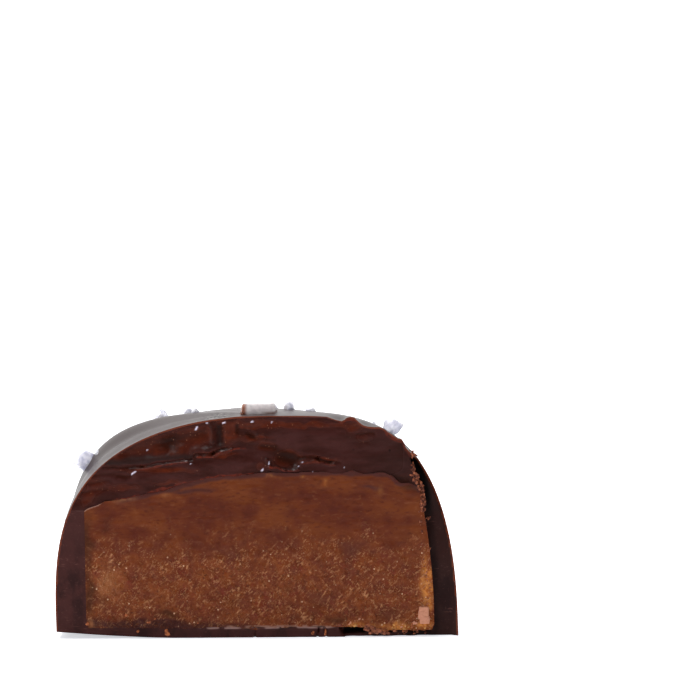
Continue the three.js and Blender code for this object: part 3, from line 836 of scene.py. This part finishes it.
def ganache_material():
    s = Shader("ganache", Roughness=0.2, IOR=1.5, Specular_IOR_Level=0.22)
    streaks = s.noise(0.9, detail=3, stretch=(0.35, 1, 1))
    # the ganache's own colour with a painted reflection of the studio on its smooth flats
    purple_and_reflection = s.colour(s.span(streaks, 0.35, 0.65), srgb(66, 33, 30), srgb(54, 24, 19))
    mottle = s.noise(0.5, detail=3)
    warm = s.colour(s.span(mottle, 0.3, 0.7), srgb(88, 32, 12), srgb(72, 22, 6))
    s.base = s.colour(s.span(s.attribute("warm"), 0.1, 0.8), purple_and_reflection, warm)
    s.paint(s.span(s.attribute("dull"), 0.0, 1.0, 0, 0.8), srgb(46, 24, 20))
    # painted shade in the hollows of the knife's marks, lighter where they stand proud
    s.paint(s.span(s.attribute("deep"), 0.15, 1.0), srgb(50, 18, 8))
    # painted light shining through thin edges
    edge = s.span(s.noise(0.4, detail=2), 0.35, 0.6, 0.2, 1.0)
    rust = s.both(s.span(s.attribute("rust"), 0.25, 0.9), edge)
    s.paint(rust, srgb(98, 38, 26))
    fleck = s.both(s.attribute("warm"), s.span(s.noise(0.15, detail=1), 0.7, 0.78, 0, 0.7))
    s.paint(fleck, srgb(190, 130, 100))
    # painted shade of small pits on the dry right side, with no relief under it
    pit_shade = s.both(s.span(s.cells(0.9), 0.16, 0.06), s.span(s.axis("X"), 7.0, 9.0, 0, 0.8))
    s.paint(pit_shade, srgb(30, 14, 10))
    # painted highlights
    s.paint(s.attribute("glint"), srgb(214, 206, 224))
    s.drive(Base_Color=s.base)
    rough = s.span(s.attribute("dull"), 0.0, 1.0, 0.2, 0.38)
    s.drive(Roughness=s.math("ADD", rough, s.both(s.attribute("warm"), 0.2)))
    drag = s.bump(s.noise(0.35, detail=3, stretch=(0.25, 1, 1)), 0.02, 0.6)
    s.drive(Normal=s.bump(s.noise(0.12, detail=2), 0.006, 0.5, drag))
    return s.material


def caramel_material():
    s = Shader("caramel", Roughness=0.42, IOR=1.46, Specular_IOR_Level=0.22)
    s.glow(0.12, 0.5, (1.0, 0.4, 0.2))
    height = s.math("ADD", s.axis("Z"), s.span(s.noise(1.6, detail=3), 0.3, 0.7, -1.2, 1.2))
    low = s.span(height, 10.0, 5.5)
    cloud = s.span(s.noise(1.2, detail=4), 0.3, 0.7)
    top = s.colour(cloud, srgb(104, 43, 12), srgb(88, 32, 13))
    body = s.colour(cloud, srgb(128, 62, 22), srgb(106, 46, 24))
    ruddy = s.span(s.noise(0.9, detail=3), 0.56, 0.7, 0, 0.6)
    body = s.colour(ruddy, body, srgb(112, 38, 22))
    s.base = s.colour(low, top, body)
    amber = s.span(s.noise(3.5, detail=2, stretch=(0.6, 1, 1)), 0.45, 0.65, 0, 0.6)
    s.paint(s.both(amber, s.span(low, 1, 0)), srgb(122, 58, 12))
    dashes = s.span(s.noise(0.2, detail=3, stretch=(0.35, 1, 1)), 0.54, 0.68, 0, 0.75)
    s.paint(s.both(dashes, s.span(low, 1, 0)), srgb(84, 32, 8))
    # lighter streaks between the dashes of the upper part
    lighter_streaks = s.span(s.noise(0.2, detail=3, stretch=(0.35, 1, 1)), 0.42, 0.3, 0, 0.35)
    s.paint(s.both(lighter_streaks, s.span(low, 1, 0)), srgb(130, 72, 40))
    smear = s.colour(s.span(s.axis("Z"), 2.2, 1.2), srgb(76, 36, 32), srgb(64, 29, 26))
    s.paint(s.span(s.attribute("mauve"), 0, 0.9, 0, 0.92), smear)
    s.paint(s.span(s.attribute("dark"), 0, 1, 0, 0.8), srgb(66, 32, 10))
    # painted shade in the hollows between the sugar
    s.paint(s.both(low, sugar_pit_shade(s)), srgb(84, 36, 12))
    # golden specks, with painted light: a highlight on the lower left and light through the right edge
    gold = s.colour(s.span(s.noise(0.35, detail=3), 0.35, 0.65), srgb(220, 142, 66), srgb(170, 90, 32))
    gold = s.colour(s.span(s.axis("X"), -4, -8), gold, srgb(176, 112, 66))
    upright = s.span(s.noise(0.5, detail=4, stretch=(1, 1, 0.4)), 0.35, 0.6, 0.45, 1)
    s.paint(s.both(s.span(s.attribute("gold"), 0, 1, 0, 0.9), upright), gold)
    bare = s.span(s.math("MAXIMUM", s.attribute("mauve"), s.attribute("dark")), 0, 1, 1, 0.3)
    sugar = s.both(s.both(low, bare), sugar_flecks(s))
    s.paint(sugar, srgb(192, 132, 90))
    dots = s.span(s.cells(0.55), 0.16, 0.08)
    dots = s.both(dots, s.span(s.noise(1.1, detail=1), 0.5, 0.58))
    s.paint(s.both(dots, low), srgb(214, 172, 138))
    s.paint(s.span(s.attribute("edge"), 0.1, 0.9), srgb(150, 108, 92))
    s.drive(Base_Color=s.base)
    rough = s.bump(s.both(s.noise(0.28, detail=4, roughness=0.65), low), 0.12, 0.8)
    s.drive(Normal=s.bump(sugar, 0.09, 0.9, rough))
    return s.material


def sugar_pit_shade(s):
    """Painted shade in small hollows between the sugar of the caramel's lower part."""
    return s.span(s.noise(0.2, detail=4, roughness=0.65), 0.47, 0.35, 0, 0.9)


def sugar_flecks(s):
    """Light flecks of sugar, most of them leaning, in loose patches."""
    leaning = s.span(s.noise(0.17, detail=3, stretch=(1, 1, 0.42), turn=-0.7), 0.54, 0.66)
    crossing = s.span(s.noise(0.15, detail=3, stretch=(1, 1, 0.55), turn=0.9), 0.57, 0.69)
    upright = s.span(s.noise(0.15, detail=2, stretch=(1, 1, 0.4)), 0.61, 0.73)
    flecks = s.math("MAXIMUM", upright, s.math("MAXIMUM", leaning, crossing))
    return s.both(flecks, s.span(s.noise(0.7, detail=3), 0.35, 0.65, 0.15, 0.85))


def salt_material():
    s = Shader("salt", Roughness=0.22, IOR=1.54, Transmission_Weight=0.05)
    s.glow(0.6, 2.0, (1.0, 1.0, 1.0))
    cloud = s.noise(0.45, detail=3)
    s.base = s.colour(s.span(cloud, 0.35, 0.65), srgb(190, 190, 208), srgb(230, 228, 240))
    beside = s.both(s.span(s.axis("X"), -2.2, -1.8), s.span(s.axis("X"), 2.7, 2.5))
    above = s.both(s.span(s.axis("Y"), 4, 3), s.span(s.axis("Z"), 18.5, 18.6))
    biggest = s.both(beside, above)
    s.paint(s.both(biggest, 0.65), srgb(200, 188, 178))
    # the biggest crystal turns brown at its foot and its left end
    foot = s.both(s.span(s.axis("Z"), 19.25, 19.05, 0, 0.6), s.span(s.axis("X"), 0.3, 1.2))
    brown_foot_and_end = s.math("MAXIMUM", foot, s.span(s.axis("X"), -0.6, -0.95, 0, 0.9))
    s.paint(s.both(biggest, brown_foot_and_end), srgb(124, 66, 32))
    s.drive(Base_Color=s.base)
    s.drive(Normal=s.bump(s.noise(0.3, detail=2), 0.03, 0.6))
    return s.material


def mottled_material(name, size, end, first, second, roughness, specular):
    s = Shader(name, Roughness=roughness, Specular_IOR_Level=specular)
    s.drive(Base_Color=s.colour(s.span(s.noise(size, detail=2), 0.35, end), srgb(*first), srgb(*second)))
    return s.material


def flake_material():
    return mottled_material("chocolate_flakes", 0.25, 0.7, (84, 38, 26), (176, 102, 68), 0.55, 0.3)


def crumb_material():
    return mottled_material("golden_crumbs", 0.4, 0.65, (168, 98, 36), (216, 156, 84), 0.35, 0.5)


def bits_material():
    return mottled_material("orange_bits", 0.2, 0.65, (122, 58, 30), (196, 112, 66), 0.5, 0.3)


def chunk_material():
    s = Shader("pale_chunk", Roughness=0.6, Specular_IOR_Level=0.3)
    s.drive(Base_Color=s.colour(s.noise(0.2, detail=3), srgb(186, 120, 92), srgb(216, 152, 122)))
    s.drive(Normal=s.bump(s.noise(0.12, detail=3), 0.06, 0.8))
    return s.material


def rim_glow_line(outline, x, y, z):
    """A lighter line along the cut's outer edge: painted light through its thin, broken chocolate."""
    distance = distance_to(outline, x, z - nick_at(x, y, z))
    burr = 0.25 * ramp(x, 6.5, 7.5) * ramp(x, 13.6, 12.0) * (0.5 + 0.5 * noise(x, 0, z, 0.5, seed=81))
    width = 0.07 + burr + 0.07 * ramp(np.abs(x), 13, 13.6) + 0.03 * noise(x, 0, z, 0.4, seed=82)
    return ramp(distance, width + 0.06, width)


def shade_beside_filling(x, y, z):
    """Deep shade in the gap between the filling and the broken right wall, and under its foot."""
    inner = np.interp(z, [0, 6.5, 9.5, 12.6, 15.2], [14.9, 14.9, 14.6, 14.2, 13.5])
    gap = ramp(x, inner + 0.55, inner + 0.1) * (x > 12.6) * (z < 15.4) * mix(0.3, 1, ramp(z, 9.5, 12))
    foot = (x > CRUMBLED["start"]) * (x < 14.6) * (z < CRUMBLED["top"])
    foot = foot * mix(1, 0.15, ramp(z, mix(0.35, 0.6, ramp(x, 9.0, 9.4)), 0.2))
    return np.clip(gap + foot, 0, 1)


def pale_lines(x, y, z):
    """Pale lines: the base plate's upper edge in the middle, and the left wall's seam."""
    plate = bell(z - 0.86, 0.09) * ramp(x, -5.5, -4.0) * ramp(x, 7.0, 6.0)
    seam_z = 10.95 + 0.2 * (-14.5 - x) + 0.05 * noise(x, 0, 0, 0.5, seed=85)
    seam = bell(z - seam_z, 0.06) * ramp(x, -14.2, -14.5)
    return plate * ramp(noise(x, 0, z, 0.5, seed=86), -0.6, 0.2) + 0.3 * seam


def scuffs(x, y, z):
    """Rough gray patches of the coat beside two of the grains."""
    reach = [np.exp(-((x - a) ** 2 + (y - b) ** 2 + (z - c) ** 2) / w**2) for a, b, c, w in SCUFFS]
    return np.clip(sum(reach) * (1 + 0.8 * layered(x, y, z, 0.5, seed=87)), 0, 1)


def rust_lines(dome, seam, x, z):
    """Painted light where it shines through thin edges: the marks' own, the top and the lower border."""
    top = 0.4 * ramp(distance_to(dome, x, z), 0.75, 0.15) * ramp(x, -14, -9) * ramp(x, 8.5, 7.0)
    top = top * (0.8 + 0.2 * layered(x, 0, z, 2.0, seed=91))
    width = 0.12 + 0.07 * noise(x, 0, 0, 0.5, seed=92)
    low = ramp(distance_to(seam, x, z), width + 0.06, width) * ramp(x, -12.4, -11.6) * ramp(x, 1.5, 0)
    burr = 0.16 + 0.22 * ramp(noise(x, 0, z, 0.9, seed=93), -0.5, 0.5)
    burr = ramp(distance_to(dome, x, z - nick_at(x, 0, z)), burr + 0.12, burr)
    burr = burr * ramp(x, 6.6, 7.2) * ramp(x, 13.4, 12.6)
    return marks_at(x, z)[3] + top + 1.2 * low + 0.8 * burr


def pale_edge(seam, x, z):
    """A pale line up the caramel's left edge and round its upper corner."""
    side = ramp(x, -14.38, -14.48) * ramp(z, 4, 9)
    corner = ramp(distance_to(seam, x, z), 0.12, 0.04) * ramp(x, -12.6, -13.4)
    height = 1.1 + 0.06 * noise(x, 0, 0, 0.7, seed=94)
    plate = ramp(z, height, height - 0.08) * ramp(x, -3.2, -2.2) * ramp(x, 7.2, 6.9)
    plate = plate * ramp(noise(x, 0, z, 0.4, seed=95), -0.9, 0.3)
    return np.maximum(np.maximum(side, corner), 0.75 * plate)


def glints_at(x, z):
    reach = [ramp(segment_distance(x, z, *ends), w + 0.05, w) for *ends, w in GLINTS]
    return np.max(reach, axis=0)


def mauve_at(seam, x, z):
    """Where ganache was smeared over the caramel, below the seam and in some places."""
    band = ramp(distance_to(seam, x, z), 0.45, 0.15) * ramp(x, -12.5, -11.0)
    return np.clip(places_at(MAUVE, x, z, 73) + 0.8 * band, 0, 1)


def make_shell():
    body = turned_body("shell_dressed", outside_columns, DOME_TURNS)
    combine(body, turned_body("cavity", cavity_columns, LAYER_TURNS), "DIFFERENCE")
    span = (-RADIUS - 1, RADIUS + 1)
    combine(body, block_behind("cut", shell_depth, SHELL_CELL, span, (-1, HEIGHT + 1)), "INTERSECT")
    dome = outline_of_dome()
    add_attributes(
        body,
        rim=lambda x, y, z: rim_glow_line(dome, x, y, z),
        shade=shade_beside_filling,
        pale=pale_lines,
        scuff=scuffs,
    )
    finish_solid(body, [coat_material(), cut_chocolate_material()], 50)
    body.data.polygons.foreach_set("material_index", on_cut(body.data, shell_depth).astype(np.int32))
    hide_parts("shell")


def make_ganache():
    body = turned_body("ganache_dressed", ganache_columns, LAYER_TURNS)
    span = (-RADIUS, RADIUS - 1)
    block = block_behind("cut", ganache_depth, GANACHE_CELL, span, (10, HEIGHT + 0.3))
    combine(body, block, "INTERSECT")
    dome = outline_of_dome()
    seam = outline_of_seam()
    add_attributes(
        body,
        deep=lambda x, y, z: marks_at(x, z)[1],
        dull=lambda x, y, z: marks_at(x, z)[2] + 0.45 * ramp(x, 5.5, 13),
        warm=lambda x, y, z: places_at(WARM, x, z, 74),
        glint=lambda x, y, z: glints_at(x, z),
        rust=lambda x, y, z: rust_lines(dome, seam, x, z),
    )
    finish_solid(body, [ganache_material()], 70)
    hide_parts("ganache")


def make_caramel():
    body = turned_body("caramel_dressed", caramel_columns, LAYER_TURNS)
    span = (-RADIUS, RADIUS - 1)
    combine(body, block_behind("cut", caramel_depth, CARAMEL_CELL, span, (0.3, 15)), "INTERSECT")
    seam = outline_of_seam()
    add_attributes(
        body,
        gold=lambda x, y, z: places_at(GOLDEN, x, z, 71),
        dark=lambda x, y, z: places_at(DARK, x, z, 72),
        mauve=lambda x, y, z: mauve_at(seam, x, z),
        edge=lambda x, y, z: pale_edge(seam, x, z),
    )
    finish_solid(body, [caramel_material()], 50)
    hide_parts("caramel")


def outward(bearing, climb):
    """The outward direction at a point of the candy's outside."""
    step = 0.5

    def at(b, c):
        return place(b, *dome_profile(b, c))

    across = at(bearing + step, climb) - at(bearing - step, climb)
    upward = at(bearing, climb + step) - at(bearing, climb - step)
    return Vector(np.cross(across, upward)).normalized()


def scatter_grains(draw):
    """Spreads grains evenly over the back: each is the farthest of a few random places."""
    taken = [place(row[0], *dome_profile(row[0], row[1])) for row in SHOWN_GRAINS]
    grains = []
    for i in range(SCATTERED):
        best_room, best = -1, None
        for _ in range(9):
            bearing = draw.between(*SCATTER["bearing"])
            climb = draw.between(*SCATTER["climb"])
            spot = place(bearing, *dome_profile(bearing, climb))
            room = min(np.linalg.norm(other - spot) for other in taken)
            if SCATTER_DEPTH[0] < spot[1] < SCATTER_DEPTH[1] and room > best_room:
                best_room, best = room, (bearing, climb, spot)
        taken.append(best[2])
        length = draw.between(*(SCATTER["large"] if i < LARGE_GRAINS else SCATTER["size"]))
        width = length * draw.between(0.6, 0.9)
        height = length * draw.between(0.4, 0.7)
        turn = 360 * draw()
        grains.append((best[0], best[1], length, width, height, turn, draw.between(0.5, 1)))
    return grains


def chip_points(size, draw, tip=1):
    """Points near the middles of a box's edges. The tip keeps a share of the width."""
    points = []
    for flat in range(3):
        for corner in range(4):
            point = [0, 0, 0]
            point[(flat + 1) % 3] = 1 if corner & 1 else -1
            point[(flat + 2) % 3] = 1 if corner & 2 else -1
            point[flat] = draw.between(-CHIP_SKEW, CHIP_SKEW)
            narrow = mix(1, tip, (point[2] + 1) / 2)
            reach = 0.5 * draw.between(CHIP_LEAST, 1)
            point = [point[0] * narrow, point[1] * narrow, point[2]]
            points.append(Vector(c * s * reach for c, s in zip(point, size)))
    return points


def add_chip(made, points, crease):
    """Adds the hull of some points to a bmesh, as its own loose piece."""
    verts = [made.verts.new(point) for point in points]
    hull = bmesh.ops.convex_hull(made, input=verts)
    inside = [item for item in hull["geom_interior"] if isinstance(item, bmesh.types.BMVert)]
    bmesh.ops.delete(made, geom=inside, context="VERTS")
    layer = made.edges.layers.float.get("crease_edge") or made.edges.layers.float.new("crease_edge")
    for edge in made.edges:
        if any(vert in verts for vert in edge.verts if vert.is_valid):
            edge[layer] = crease


def turn_to(normal, turn):
    upright = Vector((0, 0, 1)).rotation_difference(normal)
    return (upright @ Matrix.Rotation(math.radians(turn), 4, "Z").to_quaternion()).to_matrix()


def make_salt():
    draw = Draw(41)
    made = bmesh.new()
    for bearing, climb, length, width, height, turn, tip in [*SHOWN_GRAINS, *scatter_grains(draw)]:
        normal = outward(bearing, climb)
        foot = Vector(place(bearing, *dome_profile(bearing, climb)))
        centre = foot + normal * (height * (0.5 - GRAIN_SINK_SHARE) - GRAIN_SINK)
        rotation = turn_to(normal, turn)
        points = chip_points((length, width, height), draw, tip)
        add_chip(made, [rotation @ point + centre for point in points], 0)
    salt = finish_chips(made, "salt_grains", 0, salt_material())
    worn = salt.modifiers.new("worn edges", "BEVEL")
    worn.width = WORN_EDGE * MM
    worn.segments = 3
    worn.harden_normals = True


def finish_chips(made, name, levels, material):
    """Makes one piece of all the chips in a bmesh, rounded by some levels."""
    mesh = bpy.data.meshes.new(name)
    bmesh.ops.scale(made, vec=(MM, MM, MM), verts=made.verts)
    bmesh.ops.translate(made, vec=(0, CUT_Y, 0), verts=made.verts)
    made.to_mesh(mesh)
    made.free()
    body = add_object(name, mesh)
    body.modifiers.new("round", "SUBSURF").levels = levels
    body.modifiers["round"].render_levels = levels
    body.data.materials.append(material)
    body.data.shade_smooth()
    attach(body, "root")
    return body


def chip_at(made, x, y, z, size, draw, turn=None):
    """A chip that lies before the cut, turned in its plane by a given angle or at random."""
    turn = 6 * draw() if turn is None else turn
    turned = Matrix.Rotation(turn, 3, "Y") @ Matrix.Rotation(0.5 * (draw() - 0.5), 3, "X")
    centre = Vector((x, y, z))
    add_chip(made, [turned @ point + centre for point in chip_points(size, draw)], CHIP_CREASE)


def make_flakes():
    """A band of broken chocolate along the filling's right side, and single curls below it."""
    draw = Draw(7)
    made = bmesh.new()
    for _ in range(COUNTS["flakes"]):
        x, z, width = along_path(FLAKE_BAND, draw() ** 0.8)
        length = 0.1 + 0.28 * draw() ** 2
        size = (length, length * draw.between(0.4, 0.8), length * draw.between(0.4, 0.9))
        chip_at(made, x + draw.between(-1, 1) * width, draw.between(-0.1, 0.35), z, size, draw)
    for x, z, size in CURLS:
        for _ in range(7):
            length = size * draw.between(0.35, 0.8)
            spot = (x + draw.between(-0.4, 0.4) * size, draw.between(-0.05, 0.4), z)
            chip_at(made, *spot[:2], z + draw.between(-0.4, 0.4) * size, (length, 0.15, length / 3), draw)
    for _ in range(COUNTS["edge_flakes"]):
        x, z, width = along_path(EDGE_CRUMBS, draw() ** 1.5)
        length = draw.between(0.07, 0.2)
        chip_at(made, x + draw.between(-1, 1) * width, draw.between(-0.05, 0.3), z, [length] * 3, draw)
    finish_chips(made, "side_flakes", 1, flake_material())


def along_path(path, share):
    """x, z and half width at a share of a path of such rows."""
    steps = np.linspace(0, 1, len(path))
    return [float(np.interp(share, steps, column)) for column in zip(*path)]


def make_crumbs():
    """Golden crumbs of caramel over the broken stretch of the base plate, and a paler chunk."""
    draw = Draw(11)
    made = bmesh.new()
    for _ in range(COUNTS["golden"]):
        x = draw.between(9.8, 14.2)
        length = 0.1 + 0.3 * draw() ** 2
        size = (length, length * 0.6, length * draw.between(0.4, 0.7))
        chip_at(made, x, draw.between(0.0, 0.3), 0.78 + draw.between(-0.16, 0.3), size, draw)
    for _ in range(COUNTS["corner"]):
        size = [draw.between(0.1, 0.3)] * 3
        chip_at(made, draw.between(7.8, 8.8), draw.between(0.0, 0.3), draw.between(0.95, 1.2), size, draw)
    finish_chips(made, "golden_crumbs", 2, crumb_material())

    made = bmesh.new()
    for x, z, length, height in BITS:
        for _ in range(3):
            spot = (x + draw.between(-0.25, 0.25) * length, 0.02, z + draw.between(-0.25, 0.25) * height)
            chip_at(made, *spot, (length * 0.6, 0.25, height * 0.7), draw, turn=draw.between(-0.4, 0.4))
    finish_chips(made, "orange_bits", 1, bits_material())

    made = bmesh.new()
    corners = [Vector((x, y, z)) for x in (-0.5, 0.5) for y in (-0.22, 0.22) for z in (-0.4, 0.4)]
    chunk_x, chunk_z = PALE_CHUNK_AT
    for rise in (-0.42, 0.05, 0.4):
        centre = Vector((chunk_x - 0.12 * rise + draw.between(-0.06, 0.06), 0, chunk_z + rise))
        add_chip(made, [corner * draw.between(0.75, 1) + centre for corner in corners], 0.9)
    for x, z, length in PALE_CRUMBS:
        for _ in range(3):
            spot = (x + draw.between(-0.15, 0.15), 0, z + draw.between(-0.12, 0.12))
            chip_at(made, *spot, (length, 0.2, length * 0.6), draw, turn=draw.between(-0.9, -0.3))
    finish_chips(made, "pale_chunk", 2, chunk_material())


def make_base_crumbs():
    """Broken bits of the base plate on the right."""
    draw = Draw(13)
    made = bmesh.new()
    for _ in range(COUNTS["base"]):
        length = 0.12 + 0.3 * draw() ** 2
        size = (length, length * 0.6, length * 0.5)
        chip_at(made, draw.between(9.4, 14.2), draw.between(0.2, 0.6), draw.between(0.15, 0.5), size, draw)
    for x, z, length, height, turn in BROKEN_BITS:
        chip_at(made, x, 0, z, (length, 0.3, height), draw, turn)
    finish_chips(made, "base_crumbs", 1, flake_material())


def make_camera():
    data = bpy.data.cameras.new("camera")
    data.sensor_width = 36
    data.lens = FOCAL_PX / FRAME_PX * data.sensor_width
    data.clip_start = 0.01
    camera = add_object("camera", data)
    camera.location = [value * MM + shift for value, shift in zip(CAMERA_AT, (0, CUT_Y, 0))]
    upright = Matrix.Rotation(math.radians(90 - CAMERA_PITCH), 3, "X")
    camera.rotation_euler = (upright @ Matrix.Rotation(math.radians(-CAMERA_ROLL), 3, "Z")).to_euler()
    bpy.context.scene.camera = camera


def make_light(name, at, size, power, colour=(1, 1, 1)):
    """A square soft box at a place in mm that faces the candy."""
    data = bpy.data.lights.new(name, "AREA")
    data.size = size * MM
    data.energy = power
    data.color = colour
    light = add_object(name, data)
    light.location = Vector(at) * MM
    towards = Vector((0, 0, HEIGHT / 2)) * MM - light.location
    light.rotation_euler = towards.to_track_quat("-Z", "Y").to_euler()


def make_floor():
    side = 4.0
    corners = [(-side, -side, 0), (side, -side, 0), (side, side, 0), (-side, side, 0)]
    mesh = bpy.data.meshes.new("floor")
    mesh.from_pydata(corners, [], [(0, 1, 2, 3)])
    floor = add_object("floor", mesh)
    s = Shader("floor", Roughness=0.8, Specular_IOR_Level=0.2, Emission_Strength=0.6)
    s.main.inputs["Emission Color"].default_value = (0.93, 0.95, 1.0, 1.0)
    faint = s.noise(40, detail=1)
    s.drive(Base_Color=s.colour(faint, (0.86, 0.86, 0.88, 1), (0.88, 0.88, 0.9, 1)))
    mesh.materials.append(s.material)
    floor.visible_glossy = False


def make_world():
    """Soft studio light, brighter behind the candy and on its left, dim on the camera's side."""
    world = bpy.data.worlds.new("studio")
    world.use_nodes = True
    bpy.context.scene.world = world
    nodes, links = world.node_tree.nodes, world.node_tree.links
    background = nodes["Background"]
    towards = nodes.new("ShaderNodeVectorMath")
    towards.operation = "DOT_PRODUCT"
    towards.inputs[1].default_value = BRIGHT_SIDE
    links.new(nodes.new("ShaderNodeTexCoord").outputs["Generated"], towards.inputs[0])
    across = nodes.new("ShaderNodeMapRange")
    for name, value in WORLD_LIGHT.items():
        across.inputs[name].default_value = value
    links.new(towards.outputs["Value"], across.inputs["Value"])
    seen = nodes.new("ShaderNodeLightPath").outputs["Is Camera Ray"]
    blend = nodes.new("ShaderNodeMix")
    links.new(seen, blend.inputs[0])
    links.new(across.outputs[0], blend.inputs[2])
    blend.inputs[3].default_value = 1.0
    links.new(blend.outputs[0], background.inputs["Strength"])
    background.inputs["Color"].default_value = (1, 1, 1, 1)


def make_studio():
    make_world()
    make_floor()
    make_light("top", (-60, 60, 420), 260, 2.2)
    make_light("key", (-160, -200, 330), 60, 0.11)
    make_light("glint", (-60, -200, 300), 40, 0.03)
    bpy.context.scene.view_settings.view_transform = "Standard"


make_camera()
make_shell()
make_ganache()
make_caramel()
make_salt()
make_flakes()
make_crumbs()
make_base_crumbs()
make_studio()
